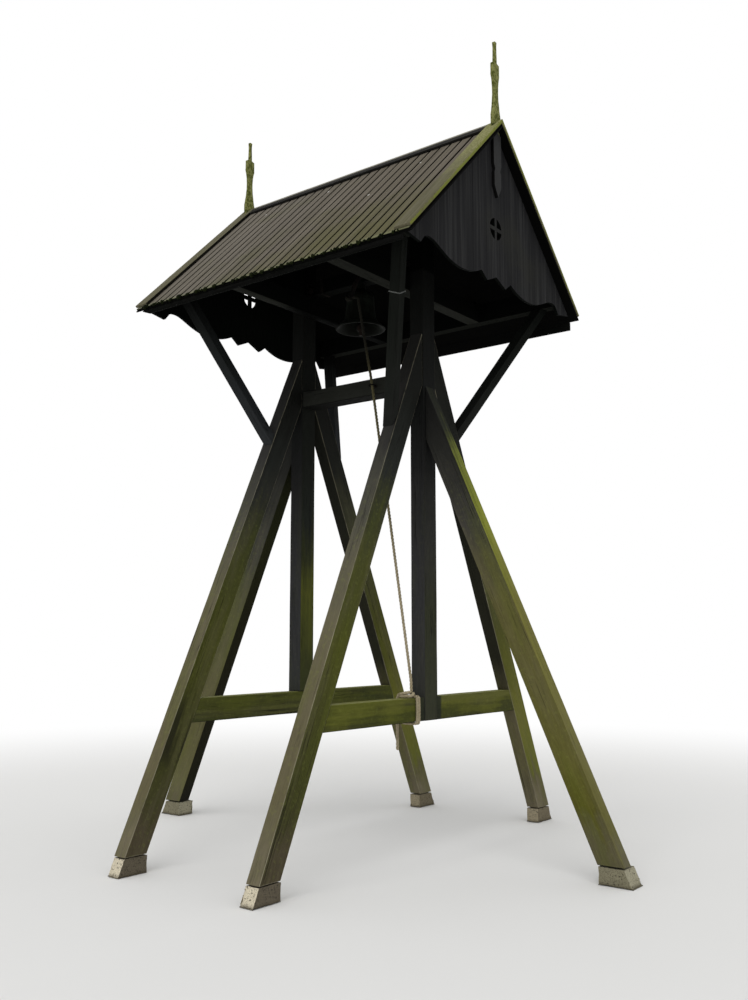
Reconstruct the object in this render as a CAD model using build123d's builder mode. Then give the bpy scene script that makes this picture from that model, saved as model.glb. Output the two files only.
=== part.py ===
from build123d import *
import os
from math import atan2, cos, degrees, pi, radians, sin, tan

os.makedirs("parts", exist_ok=True)

# Open timber bell tower under a boarded gable roof
# The origin is on the ground, in the middle between the feet. X runs along the ridge,
# Y across it, Z is up. Two cross frames stand at plus and minus frame_x. Each has two
# leaning legs and a centre post, and a leaning strut props it from the gable end.

# Feet
block_height = 130
block_ledge = 14
block_side_ledge = 3
strut_block_far_ledge = 55

# Cross frames
frame_x = 649
leg_width = 120
leg_depth = 180
leg_foot = 1787
leg_lean = 24.37
post_width = 132
post_depth = 171
strut_width = 118
strut_depth = 179
strut_foot = 2197
strut_lean = 24.08
lower_tie_bottom = 1015
lower_tie_height = 181
middle_beam_bottom = 3660
middle_beam_height = 140
tie_width = 120
tie_height = 160

# Roof
eave_y = 1275
eave_height = 4417
ridge_height = 5708
roof_half_length = 1440
board_thickness = 28
plate_inner_y = 1000
plate_width = 100
plate_side_height = 74.35
eave_board_thickness = 25
eave_board_drop = 94
eave_board_setback = 15
ridge_beam_width = 90
ridge_beam_height = 168.15
verge_width = 140
verge_thickness = 22
ridge_cap_width = 120
brace_width = 92
brace_depth = 80
brace_foot_height = 3321
brace_top_x = 1178
brace_top_y = 1031

# Gables
gable_thickness = 25
gable_setback = 80
gable_corner_y = 1214
gable_foot_drop = 40
gable_scallop_depth = 104
window_rise = 463
window_radius = 88
window_bar = 26
window_bar_lap = 1

# Finials
finial_thickness = 30
finial_rise = 707
pendant_drop = 616
finial_base_half = 58
finial_gap = 1

# Bell and its hanging
swing_axis_rise = 100
bell_mouth_radius = 215
bell_height = 326
bell_neck = 69
bell_lip_height = 10
bell_lip_width = 17
bell_boss_radius = 46
bolt_plate_length = 110
bolt_plate_width = 90
bolt_plate_thickness = 8
bolt_head_radius = 24
bolt_head_height = 20
headstock_depth = 110
headstock_height = 130
headstock_half_length = 505
band_width = 36
band_thickness = 5
band_x = 395
pin_diameter = 30
pin_clearance = 0.1
bearing_plate = 12
bearing_plate_width = 96
bearing_plate_height = 150
bearing_boss_diameter = 74
bearing_plate_corner = 12
bearing_end_gap = 6
clapper_ball_radius = 33
clapper_head_radius = 14
clapper_shank_radius = 9
clapper_flight = 52

# Ringing lever and rope
rope_diameter = 24
rope_gap = 0.3
lever_x = 240
lever_thickness = 14
lever_depth = 38
lever_root_drop = 10
lever_bow_y = -300
lever_bow_drop = 120
lever_eye_y = -420
lever_eye_drop = 340
lever_flange_width = 90
lever_flange_height = 110
lever_flange_thickness = 8
lever_flange_corner = 10
lever_eye_clearance = 2
rope_knot_radius = 27
knot_sides = 12
knot_taper = 14
rope_exit = 8
rope_drop_x = 312
rope_first_drop = 55
rope_turn_run = 2
rope_last_drop = 95
rope_bend = 120
guide_x = 228
guide_drop = 2
guide_ring_radius = 30
guide_wire = 8
guide_shank_diameter = 7
guide_shank = 12
hitch_y = -180
hitch_bunch_length = 92
hitch_bunch_height = 50
hitch_overhang = 26
rope_tail_length = 390

# Worked out from the sizes above
pitch = degrees(atan2(ridge_height - eave_height, eave_y))
leg_half_run = leg_depth / 2 / cos(radians(leg_lean))
strut_half_run = strut_depth / 2 / cos(radians(strut_lean))
post_face_y = post_depth / 2
post_face_x = frame_x + post_width / 2
post_inner_x = frame_x - post_width / 2
lower_tie_top = lower_tie_bottom + lower_tie_height
guide_height = middle_beam_bottom + middle_beam_height / 2 - guide_drop
plate_outer_y = plate_inner_y + plate_width
board_drop = board_thickness / cos(radians(pitch))
plate_top = ridge_height - plate_outer_y * tan(radians(pitch)) - board_drop
plate_bottom = plate_top - plate_side_height
tie_bottom = plate_bottom
tie_top = tie_bottom + tie_height
ridge_beam_bottom = ridge_height - board_drop - ridge_beam_height
swing_axis_height = tie_top + swing_axis_rise
gable_face_x = roof_half_length - gable_setback
gable_inner_x = gable_face_x - gable_thickness
gable_foot_height = eave_height - gable_foot_drop
window_height = gable_foot_height + window_rise
finial_top = ridge_height + finial_rise
finial_foot = ridge_height - pendant_drop
headstock_bottom = swing_axis_height - headstock_height / 2
headstock_top = swing_axis_height + headstock_height / 2
bell_shoulder = headstock_bottom - bell_neck
bell_mouth = bell_shoulder - bell_height
lever_eye_height = swing_axis_height - lever_eye_drop


def roof_height(y, depth=0):
    """Height of a plane of the roof at a distance y from the middle, depth below the boards' top."""
    return ridge_height - abs(y) * tan(radians(pitch)) - depth / cos(radians(pitch))


def leg_y(height):
    """Distance of a leg's centre line from the middle at a height above the ground."""
    return leg_foot - (height - block_height) * tan(radians(leg_lean))


def leg_reach(y):
    """Height above the ground at which a leg's centre line is y from the middle."""
    return block_height + (leg_foot - y) / tan(radians(leg_lean))


def strut_reach(x):
    """Height above the ground at which a strut's centre line is x from the middle."""
    return block_height + (strut_foot - x) / tan(radians(strut_lean))


def save(solid, name):
    """Label a finished piece and write it to its own file."""
    solid.label = name
    export_step(solid, f"parts/{name}.step")


ends = {"left": -1, "right": 1}
sides = {"near": -1, "far": 1}

# Concrete block under a leg, its outer face in line with the leg's
for end, sx in ends.items():
    for side, sy in sides.items():
        inner = leg_foot - leg_half_run - block_ledge
        outer_top = leg_foot + leg_half_run
        outer_foot = outer_top + block_height * tan(radians(leg_lean))
        with BuildPart() as leg_block:
            with BuildSketch(Plane.YZ.offset(sx * frame_x)):
                with BuildLine():
                    Polyline(
                        (sy * inner, 0),
                        (sy * outer_foot, 0),
                        (sy * outer_top, block_height),
                        (sy * inner, block_height),
                        close=True,
                    )
                make_face()
            extrude(amount=leg_width / 2 + block_side_ledge, both=True)
        save(leg_block.part, f"foot_block_{end}_{side}")

# Concrete block under a strut, cast wider on its far side
for end, sx in ends.items():
    inner = strut_foot - strut_half_run
    outer_top = strut_foot + strut_half_run
    outer_foot = outer_top + block_height * tan(radians(strut_lean))
    near_reach = strut_width / 2 + block_side_ledge
    far_reach = strut_width / 2 + strut_block_far_ledge
    with BuildPart() as strut_block:
        with BuildSketch(Plane.XZ.offset(near_reach)):
            with BuildLine():
                Polyline(
                    (sx * inner, 0),
                    (sx * outer_foot, 0),
                    (sx * outer_top, block_height),
                    (sx * inner, block_height),
                    close=True,
                )
            make_face()
        extrude(amount=-(near_reach + far_reach))
    save(strut_block.part, f"foot_block_{end}_end")

# Legs, cut level on their blocks and plumb against the centre post
for end, sx in ends.items():
    for side, sy in sides.items():
        with BuildPart() as leg:
            with BuildSketch(Plane.YZ.offset(sx * frame_x)):
                with BuildLine():
                    Polyline(
                        (sy * (leg_foot - leg_half_run), block_height),
                        (sy * (leg_foot + leg_half_run), block_height),
                        (sy * post_face_y, leg_reach(post_face_y - leg_half_run)),
                        (sy * post_face_y, leg_reach(post_face_y + leg_half_run)),
                        close=True,
                    )
                make_face()
            extrude(amount=leg_width / 2, both=True)
        save(leg.part, f"leg_{end}_{side}")

# Struts that prop the frames from the gable ends
for end, sx in ends.items():
    with BuildPart() as strut:
        with BuildSketch(Plane.XZ):
            with BuildLine():
                Polyline(
                    (sx * (strut_foot - strut_half_run), block_height),
                    (sx * (strut_foot + strut_half_run), block_height),
                    (sx * post_face_x, strut_reach(post_face_x - strut_half_run)),
                    (sx * post_face_x, strut_reach(post_face_x + strut_half_run)),
                    close=True,
                )
            make_face()
        extrude(amount=strut_width / 2, both=True)
    save(strut.part, f"end_strut_{end}")

# Centre posts, halved over the lower tie with the outer half left standing
for end, sx in ends.items():
    with BuildPart() as post:
        with BuildSketch(Plane.XY.offset(lower_tie_bottom)):
            with Locations((sx * frame_x, 0)):
                Rectangle(post_width, post_depth)
        extrude(amount=tie_top - lower_tie_bottom)
        with BuildSketch(Plane.XY.offset(lower_tie_bottom)):
            with Locations((sx * (frame_x - post_width / 4), 0)):
                Rectangle(post_width / 2, post_depth)
        extrude(amount=lower_tie_height, mode=Mode.SUBTRACT)
    save(post.part, f"centre_post_{end}")

# Lower ties between the legs of one frame, notched for the post
for end, sx in ends.items():
    with BuildPart() as lower_tie:
        with BuildSketch(Plane.YZ.offset(sx * frame_x)):
            with BuildLine():
                Polyline(
                    (-(leg_y(lower_tie_bottom) - leg_half_run), lower_tie_bottom),
                    (leg_y(lower_tie_bottom) - leg_half_run, lower_tie_bottom),
                    (leg_y(lower_tie_top) - leg_half_run, lower_tie_top),
                    (-(leg_y(lower_tie_top) - leg_half_run), lower_tie_top),
                    close=True,
                )
            make_face()
        extrude(amount=leg_width / 2, both=True)
        with BuildSketch(Plane.XY.offset(lower_tie_bottom)):
            with Locations((sx * (frame_x + leg_width / 4), 0)):
                Rectangle(leg_width / 2, post_depth)
        extrude(amount=lower_tie_height, mode=Mode.SUBTRACT)
    save(lower_tie.part, f"lower_tie_{end}")

# Middle beam from post to post below the bell
with BuildPart() as middle_beam:
    with BuildSketch(Plane.XY.offset(middle_beam_bottom)):
        Rectangle(2 * post_inner_x, post_depth)
    extrude(amount=middle_beam_height)
save(middle_beam.part, "middle_beam")

# Tie beams on the inner faces of the posts, from eave plate to eave plate
for end, sx in ends.items():
    with BuildPart() as tie_beam:
        with BuildSketch(Plane.XY.offset(tie_bottom)):
            with Locations((sx * (post_inner_x - tie_width / 2), 0)):
                Rectangle(tie_width, 2 * plate_inner_y)
        extrude(amount=tie_height)
    save(tie_beam.part, f"tie_beam_{end}")

# King posts from the heads of the centre posts to the ridge beam
for end, sx in ends.items():
    with BuildPart() as king_post:
        with BuildSketch(Plane.XY.offset(tie_top)):
            with Locations((sx * frame_x, 0)):
                Rectangle(post_width, post_depth)
        extrude(amount=ridge_beam_bottom - tie_top)
    save(king_post.part, f"king_post_{end}")

# Ridge beam, its top planed to the slopes
with BuildPart() as ridge_beam:
    with BuildSketch(Plane.YZ):
        with BuildLine():
            Polyline(
                (-ridge_beam_width / 2, ridge_beam_bottom),
                (ridge_beam_width / 2, ridge_beam_bottom),
                (ridge_beam_width / 2, roof_height(ridge_beam_width / 2, board_thickness)),
                (0, roof_height(0, board_thickness)),
                (-ridge_beam_width / 2, roof_height(ridge_beam_width / 2, board_thickness)),
                close=True,
            )
        make_face()
    extrude(amount=gable_inner_x, both=True)
save(ridge_beam.part, "ridge_beam")

# Eave plates, their tops planed to the slope
for side, sy in sides.items():
    with BuildPart() as eave_plate:
        with BuildSketch(Plane.YZ):
            with BuildLine():
                Polyline(
                    (sy * plate_inner_y, plate_bottom),
                    (sy * plate_outer_y, plate_bottom),
                    (sy * plate_outer_y, roof_height(plate_outer_y, board_thickness)),
                    (sy * plate_inner_y, roof_height(plate_inner_y, board_thickness)),
                    close=True,
                )
            make_face()
        extrude(amount=gable_inner_x, both=True)
    save(eave_plate.part, f"eave_plate_{side}")

# Corner braces from the outer faces of the legs up to the eave plates
brace_foot_y = leg_y(brace_foot_height) + leg_half_run
for end, sx in ends.items():
    for side, sy in sides.items():
        foot = Vector(sx * frame_x, sy * brace_foot_y, brace_foot_height)
        top = Vector(sx * brace_top_x, sy * brace_top_y, plate_bottom)
        run = top - foot
        across = Vector(1, 0, 0) - run * (run.X / run.dot(run))
        leg_out = Vector(0, sy * cos(radians(leg_lean)), sin(radians(leg_lean)))
        with BuildPart() as brace:
            with BuildSketch(Plane(origin=foot - run * 0.2, x_dir=across, z_dir=run)):
                Rectangle(brace_width, brace_depth)
            extrude(amount=run.length * 1.4)
            split(bisect_by=Plane(origin=foot, z_dir=leg_out), keep=Keep.TOP)
            split(bisect_by=Plane.XY.offset(plate_bottom), keep=Keep.BOTTOM)
        save(brace.part, f"corner_brace_{end}_{side}")


def slope_profile(sy, upper, lower, outer_y, inner_y=0):
    """Outline across one slope between two depths below the boards' top."""
    square_cut = (lower - upper) * sin(radians(pitch))
    cut_y = outer_y - square_cut
    return [
        (sy * inner_y, roof_height(inner_y, upper)),
        (sy * outer_y, roof_height(outer_y, upper)),
        (sy * cut_y, roof_height(cut_y, lower)),
        (sy * inner_y, roof_height(inner_y, lower)),
    ]


# Boarded roof slopes, slotted at the ridge for the finials
slot_length = finial_thickness + 2 * finial_gap
slot_x = gable_face_x + finial_thickness / 2
for side, sy in sides.items():
    with BuildPart() as slope:
        with BuildSketch(Plane.YZ):
            with BuildLine():
                Polyline(*slope_profile(sy, 0, board_thickness, eave_y), close=True)
            make_face()
        extrude(amount=roof_half_length, both=True)
        with BuildSketch(Plane.XY.offset(roof_height(eave_y))):
            with Locations((-slot_x, 0), (slot_x, 0)):
                Rectangle(slot_length, 2 * (finial_base_half + finial_gap))
        extrude(amount=ridge_height, mode=Mode.SUBTRACT)
    save(slope.part, f"roof_slope_{side}")

# Boards along the eaves, under the ends of the roof boards
for side, sy in sides.items():
    outer = eave_y - eave_board_setback
    inner = outer - eave_board_thickness
    with BuildPart() as eave_board:
        with BuildSketch(Plane.YZ):
            with BuildLine():
                Polyline(
                    (sy * inner, eave_height - eave_board_drop),
                    (sy * outer, eave_height - eave_board_drop),
                    (sy * outer, roof_height(outer, board_thickness)),
                    (sy * inner, roof_height(inner, board_thickness)),
                    close=True,
                )
            make_face()
        extrude(amount=gable_face_x, both=True)
    save(eave_board.part, f"eave_board_{side}")

# Verge boards on top of the roof boards at the gable ends
for end, sx in ends.items():
    for side, sy in sides.items():
        with BuildPart() as verge:
            with BuildSketch(Plane.YZ.offset(sx * (roof_half_length - verge_width / 2))):
                with BuildLine():
                    Polyline(*slope_profile(sy, -verge_thickness, 0, eave_y), close=True)
                make_face()
            extrude(amount=verge_width / 2, both=True)
            with BuildSketch(Plane.XY.offset(roof_height(eave_y))):
                with Locations((sx * slot_x, 0)):
                    Rectangle(slot_length, 2 * (finial_base_half + finial_gap))
            extrude(amount=ridge_height, mode=Mode.SUBTRACT)
        save(verge.part, f"verge_board_{end}_{side}")

# Ridge capping between the verge boards
with BuildPart() as ridge_cap:
    with BuildSketch(Plane.YZ):
        for sy in sides.values():
            with BuildLine():
                Polyline(
                    *slope_profile(sy, -verge_thickness, 0, ridge_cap_width * cos(radians(pitch))),
                    close=True,
                )
            make_face()
    extrude(amount=roof_half_length - verge_width, both=True)
save(ridge_cap.part, "ridge_cap")

# Gables of upright boards with a scalloped lower edge and a barred round window.
# Half of the lower edge as shares of the corner's distance and of the scallops' depth.
gable_tooth = (0.848, 0.308)
gable_wave = [
    (0.807, 0.894),
    (0.741, 1),
    (0.626, 0.548),
    (0.511, 0.115),
    (0.395, 0),
    (0.280, 0.202),
    (0.181, 0.654),
]
gable_point = (0.113, 0.077)
gable_notch = (0, 0.663)


def gable_edge(share):
    """Place of a point of the gable's lower edge."""
    return share[0] * gable_corner_y, gable_foot_height + share[1] * gable_scallop_depth


for end, sx in ends.items():
    with BuildPart() as gable:
        with BuildSketch(Plane.YZ.offset(sx * (gable_face_x - gable_thickness / 2))):
            with BuildLine():
                Polyline(
                    (0, roof_height(0, board_thickness)),
                    (gable_corner_y, roof_height(gable_corner_y, board_thickness)),
                    gable_edge(gable_tooth),
                    gable_edge(gable_wave[0]),
                )
                Spline(*[gable_edge(share) for share in gable_wave])
                Polyline(
                    gable_edge(gable_wave[-1]),
                    gable_edge(gable_point),
                    gable_edge(gable_notch),
                )
                mirror(about=Plane.YZ)
            make_face()
            with Locations((0, window_height)):
                Circle(window_radius, mode=Mode.SUBTRACT)
                Rectangle(2 * (window_radius + window_bar_lap), window_bar)
                Rectangle(window_bar, 2 * (window_radius + window_bar_lap))
        extrude(amount=gable_thickness / 2, both=True)
    save(gable.part, f"gable_{end}")

# Sawn finial boards on the gable faces, up through the ridge. Half of the outline as
# shares of the half width and of the length above the ridge, or below it in the pendant.
finial_knob = [(0.29, 0), (0.19, 0.064), (0.28, 0.255), (0.83, 0.269), (0.86, 0.41)]
finial_waist = [(0.86, 0.41), (0.6, 0.495), (0.55, 0.693), (1, 0.905)]
pendant_side = [(1, 0.438), (0.69, 0.373), (0.9, 0.325), (0.9, 0.146)]


def finial_outline(shares, base, length):
    """Places of points of the finial's outline, measured from its top or its foot."""
    return [(half * finial_base_half, base + share * length) for half, share in shares]


for end, sx in ends.items():
    with BuildPart() as finial:
        with BuildSketch(Plane.YZ.offset(sx * (gable_face_x + finial_thickness / 2))):
            with BuildLine():
                knob = finial_outline(finial_knob, finial_top, -finial_rise)
                waist = finial_outline(finial_waist, finial_top, -finial_rise)
                pendant = finial_outline(pendant_side, finial_foot, pendant_drop)
                Polyline((0, finial_top), *knob)
                Spline(*waist)
                Polyline(waist[-1], *pendant, (0, finial_foot))
                mirror(about=Plane.YZ)
            make_face()
        extrude(amount=finial_thickness / 2, both=True)
    save(finial.part, f"finial_{end}")

# Bell, open below, with a flat boss on its crown. Its outside from the crown to the rim
# as shares of the mouth's radius and of the height, and its wall thickens to the lip.
bell_outside = [(0.39, 1.03), (0.53, 0.93), (0.59, 0.46), (0.74, 0.17)]
bell_inside = [(0.47, 0.93), (0.53, 0.46), (0.67, 0.17)]


def bell_points(shares):
    """Places of points of the bell's profile."""
    return [
        (radius * bell_mouth_radius, bell_mouth + share * bell_height)
        for radius, share in shares
    ]


with BuildPart() as bell:
    with BuildSketch(Plane.XZ):
        with BuildLine():
            vault = bell_points(bell_inside)
            Polyline(
                (0, vault[0][1]),
                (0, headstock_bottom),
                (bell_boss_radius, headstock_bottom),
                (bell_boss_radius, bell_shoulder + bell_lip_height),
                *bell_points(bell_outside),
                (bell_mouth_radius, bell_mouth + bell_lip_height),
                (bell_mouth_radius, bell_mouth),
                (bell_mouth_radius - bell_lip_width, bell_mouth),
                *reversed(vault),
                close=True,
            )
        make_face()
    revolve(axis=Axis.Z)
save(bell.part, "bell")

# Clapper, hung from the inside of the crown
clapper_top = vault[0][1]
with BuildPart() as clapper:
    with BuildSketch(Plane.XZ):
        with BuildLine():
            Polyline(
                (0, clapper_top),
                (clapper_head_radius, clapper_top),
                (clapper_shank_radius, bell_mouth + 2 * clapper_ball_radius),
                (clapper_ball_radius, bell_mouth + clapper_ball_radius),
                (clapper_ball_radius, bell_mouth),
                (clapper_head_radius, bell_mouth - clapper_flight / 2),
                (clapper_head_radius, bell_mouth - clapper_flight),
                (0, bell_mouth - clapper_flight),
                close=True,
            )
        make_face()
    revolve(axis=Axis.Z)
save(clapper.part, "clapper")

# Headstock with its iron pins
pin_end_x = post_inner_x - bearing_end_gap
with BuildPart() as headstock:
    with BuildSketch(Plane.YZ):
        with Locations((0, swing_axis_height)):
            Rectangle(headstock_depth, headstock_height)
    extrude(amount=headstock_half_length, both=True)
save(headstock.part, "headstock")

with BuildPart() as swing_pins:
    for sx in ends.values():
        with BuildSketch(Plane.YZ.offset(sx * (headstock_half_length + pin_end_x) / 2)):
            with Locations((0, swing_axis_height)):
                Circle(pin_diameter / 2)
        extrude(amount=(pin_end_x - headstock_half_length) / 2, both=True)
save(swing_pins.part, "swing_pins")

# Iron bands round the headstock
with BuildPart() as bands:
    for sx in ends.values():
        with BuildSketch(Plane.YZ.offset(sx * band_x)):
            with Locations((0, swing_axis_height)):
                Rectangle(
                    headstock_depth + 2 * band_thickness,
                    headstock_height + 2 * band_thickness,
                )
                Rectangle(headstock_depth, headstock_height, mode=Mode.SUBTRACT)
        extrude(amount=band_width / 2, both=True)
save(bands.part, "headstock_bands")

# Bolt head and plate that hold the bell up to the headstock
with BuildPart() as bell_bolt:
    with BuildSketch(Plane.XY.offset(headstock_top)):
        Rectangle(bolt_plate_length, bolt_plate_width)
    extrude(amount=bolt_plate_thickness)
    with BuildSketch(Plane.XY.offset(headstock_top + bolt_plate_thickness)):
        RegularPolygon(bolt_head_radius, 6)
    extrude(amount=bolt_head_height)
save(bell_bolt.part, "bell_bolt")

# Bearings on the inner faces of the king posts
boss_length = post_inner_x - bearing_plate - headstock_half_length - bearing_end_gap
for end, sx in ends.items():
    with BuildPart() as bearing:
        with BuildSketch(Plane.YZ.offset(sx * (post_inner_x - bearing_plate / 2))):
            with Locations((0, swing_axis_height)):
                RectangleRounded(
                    bearing_plate_width, bearing_plate_height, bearing_plate_corner
                )
        extrude(amount=bearing_plate / 2, both=True)
        with BuildSketch(Plane.YZ.offset(sx * (post_inner_x - bearing_plate - boss_length / 2))):
            with Locations((0, swing_axis_height)):
                Circle(bearing_boss_diameter / 2)
        extrude(amount=boss_length / 2, both=True)
        with BuildSketch(Plane.YZ.offset(sx * post_inner_x)):
            with Locations((0, swing_axis_height)):
                Circle(pin_diameter / 2 + pin_clearance)
        extrude(amount=boss_length + bearing_plate, both=True, mode=Mode.SUBTRACT)
    save(bearing.part, f"bearing_{end}")

# Ringing lever on the near face of the headstock, with an eye for the rope
lever_root = (-headstock_depth / 2, swing_axis_height - lever_root_drop)
lever_bow = (lever_bow_y, swing_axis_height - lever_bow_drop)
lever_eye = (lever_eye_y, lever_eye_height)
with BuildPart() as lever:
    with BuildSketch(Plane.YZ.offset(lever_x - lever_thickness / 2)):
        with BuildLine():
            ThreePointArc(lever_root, lever_bow, lever_eye)
            offset(amount=lever_depth / 2)
        make_face()
        with Locations(lever_eye):
            Circle(rope_diameter / 2 + lever_eye_clearance, mode=Mode.SUBTRACT)
        with Locations((0, swing_axis_height)):
            Rectangle(headstock_depth, 2 * headstock_height, mode=Mode.SUBTRACT)
    extrude(amount=lever_thickness)
    with BuildSketch(Plane.XZ.offset(headstock_depth / 2)):
        with Locations((lever_x, swing_axis_height)):
            RectangleRounded(lever_flange_width, lever_flange_height, lever_flange_corner)
    extrude(amount=lever_flange_thickness)
save(lever.part, "ringing_lever")

# Stopper knot of the rope and its short way through the lever's eye
rope_radius = rope_diameter / 2
lever_near_x = lever_x - lever_thickness / 2
rope_start_x = lever_x + lever_thickness / 2 + rope_exit
knot_x = lever_near_x - rope_gap - rope_knot_radius
with BuildPart() as rope_knot:
    for half in (-1, 1):
        with BuildSketch(Plane(origin=(knot_x, *lever_eye), z_dir=(half, 0, 0))):
            RegularPolygon(rope_knot_radius, knot_sides)
        extrude(amount=rope_knot_radius, taper=knot_taper)
    with BuildSketch(Plane(origin=(knot_x, *lever_eye), z_dir=(1, 0, 0))):
        RegularPolygon(rope_radius, knot_sides)
    extrude(amount=rope_start_x - knot_x)
save(rope_knot.part, "rope_knot")

# Iron guide eye on the near face of the middle beam
guide_y = -(post_face_y + guide_shank + guide_ring_radius)
with BuildPart() as rope_guide:
    with BuildSketch(Plane.XY.offset(guide_height)):
        with Locations((guide_x, guide_y)):
            Circle(guide_ring_radius + guide_wire / 2)
            Circle(guide_ring_radius - guide_wire / 2, mode=Mode.SUBTRACT)
    extrude(amount=guide_wire / 2, both=True)
    with BuildSketch(Plane.XZ.offset(post_face_y)):
        with Locations((guide_x, guide_height)):
            Circle(guide_shank_diameter / 2)
    extrude(amount=guide_shank)
    with BuildSketch(Plane.XZ.offset(post_face_y)):
        with Locations((guide_x, guide_height)):
            Circle(guide_wire * 1.5)
    extrude(amount=guide_wire / 2)
save(rope_guide.part, "rope_guide")


def rope_tube(route, name):
    """A rope along straight runs joined by arcs, as wide as rope_bend where the runs allow."""
    points = [Vector(*point) for point in route]
    runs = [after - before for before, after in zip(points, points[1:])]
    radii = []
    for first, second in zip(runs, runs[1:]):
        half_turn = radians(first.get_angle(second)) / 2
        widest = 0.45 * min(first.length, second.length) / tan(half_turn)
        radii.append(min(rope_bend, widest))
    print(name, "radii", [round(radius) for radius in radii])
    with BuildPart() as tube:
        with BuildLine() as path:
            if radii:
                FilletPolyline(*points, radius=radii)
            else:
                Line(*points)
        with BuildSketch(Plane(origin=path.line @ 0, z_dir=path.line % 0)):
            Circle(rope_radius)
        sweep()
    length = sum(edge.length for edge in path.edges())
    share = tube.part.volume / (pi * rope_radius**2 * length)
    print(name, "length", round(length), "volume share", round(share, 4))
    save(tube.part, name)


# Rope from the lever through the guide eye down to the right lower tie
hitch_top = lower_tie_top + rope_gap + rope_diameter
rope_tube(
    [
        (rope_start_x + rope_gap, lever_eye_y, lever_eye_height),
        (rope_drop_x - rope_turn_run, lever_eye_y, lever_eye_height),
        (rope_drop_x, lever_eye_y + rope_turn_run, lever_eye_height - rope_first_drop),
        (guide_x, guide_y, guide_height),
        (frame_x, hitch_y, hitch_top + rope_last_drop),
        (frame_x, hitch_y, hitch_top + rope_gap),
    ],
    "rope",
)

# Hitch of the rope round the right lower tie, as one turn and a bunch on top
turn_inner_half = leg_width / 2 + rope_gap
bunch_y = hitch_y - rope_radius - rope_gap - hitch_bunch_length / 2
with BuildPart() as rope_hitch:
    with BuildSketch(Plane.XZ.offset(-hitch_y)):
        with Locations((frame_x, lower_tie_bottom + lower_tie_height / 2)):
            RectangleRounded(
                2 * (turn_inner_half + rope_diameter),
                lower_tie_height + 2 * (rope_gap + rope_diameter),
                rope_diameter,
            )
            Rectangle(
                2 * turn_inner_half,
                lower_tie_height + 2 * rope_gap,
                mode=Mode.SUBTRACT,
            )
    extrude(amount=rope_radius, both=True)
    with BuildSketch(Plane.XY.offset(lower_tie_top + rope_gap)):
        with Locations((frame_x - hitch_overhang / 2, bunch_y)):
            RectangleRounded(leg_width + hitch_overhang, hitch_bunch_length, rope_diameter)
    extrude(amount=hitch_bunch_height)
    with BuildSketch(Plane.XY.offset(lower_tie_top + rope_gap)):
        with Locations((frame_x, hitch_y - rope_diameter)):
            Rectangle(leg_width / 2, 2 * rope_diameter)
    extrude(amount=rope_diameter)
save(rope_hitch.part, "rope_hitch")

# Loose end of the rope, hanging down behind the tie
tail_x = frame_x - turn_inner_half - rope_radius
tail_y = bunch_y - rope_diameter
rope_tube(
    [
        (tail_x, tail_y, lower_tie_top),
        (tail_x, tail_y, lower_tie_top - rope_tail_length),
    ],
    "rope_tail",
)
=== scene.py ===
import math
import random
from contextlib import contextmanager
from itertools import product

import bpy
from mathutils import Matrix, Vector


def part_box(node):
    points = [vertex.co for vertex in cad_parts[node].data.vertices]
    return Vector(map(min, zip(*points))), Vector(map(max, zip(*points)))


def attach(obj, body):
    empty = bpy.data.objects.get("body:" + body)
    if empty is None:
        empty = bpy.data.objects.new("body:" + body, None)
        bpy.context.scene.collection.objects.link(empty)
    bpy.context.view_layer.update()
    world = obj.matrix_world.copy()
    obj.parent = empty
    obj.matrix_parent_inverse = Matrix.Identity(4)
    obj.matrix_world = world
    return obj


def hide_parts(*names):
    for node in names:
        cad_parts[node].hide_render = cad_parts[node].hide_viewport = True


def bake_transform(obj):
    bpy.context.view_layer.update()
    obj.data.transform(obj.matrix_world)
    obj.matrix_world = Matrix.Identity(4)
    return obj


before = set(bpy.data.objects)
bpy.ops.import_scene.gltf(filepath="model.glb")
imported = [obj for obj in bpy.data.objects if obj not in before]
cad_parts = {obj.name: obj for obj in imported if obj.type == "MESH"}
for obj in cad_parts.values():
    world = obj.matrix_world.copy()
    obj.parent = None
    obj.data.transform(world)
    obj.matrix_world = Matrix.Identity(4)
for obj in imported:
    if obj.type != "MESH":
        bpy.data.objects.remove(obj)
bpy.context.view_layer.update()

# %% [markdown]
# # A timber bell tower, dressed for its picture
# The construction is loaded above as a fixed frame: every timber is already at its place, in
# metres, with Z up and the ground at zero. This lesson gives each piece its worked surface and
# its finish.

chance = random.Random(11)

# %% [markdown]
# ## Camera
# The tower is seen from a standing eye on the near right side. The lens was found by fitting
# the corners of the timbers, and the view looks slightly up, so uprights lean together.

# %% Camera
EYE = Vector((5.213, -6.548, 1.684))
LOOK = Vector((-0.6065, 0.7840, 0.1321))
LENS = 36.05


def placed(name, data):
    """A new object for some data, in the scene."""
    made = bpy.data.objects.new(name, data)
    bpy.context.scene.collection.objects.link(made)
    return made


def towards(direction):
    """The turn that points a camera or a lamp along a direction."""
    return direction.to_track_quat("-Z", "Y").to_euler()


camera = placed("camera", bpy.data.cameras.new("camera"))
camera.location = EYE
camera.rotation_euler = towards(LOOK)
camera.data.lens = LENS
camera.data.sensor_width = 36
camera.data.clip_end = 200
bpy.context.scene.camera = camera
print("camera", [round(v, 3) for v in camera.location])

# %% [markdown]
# ## Shader maths in plain Python
# A finish is built from readings of the surface, such as a place or a noise. Wrapping a
# reading in a small class lets the recipe be written as sums, and each sign adds its node. A
# finish keeps the colour that it has so far, and each coat is laid over it by a share.


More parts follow.
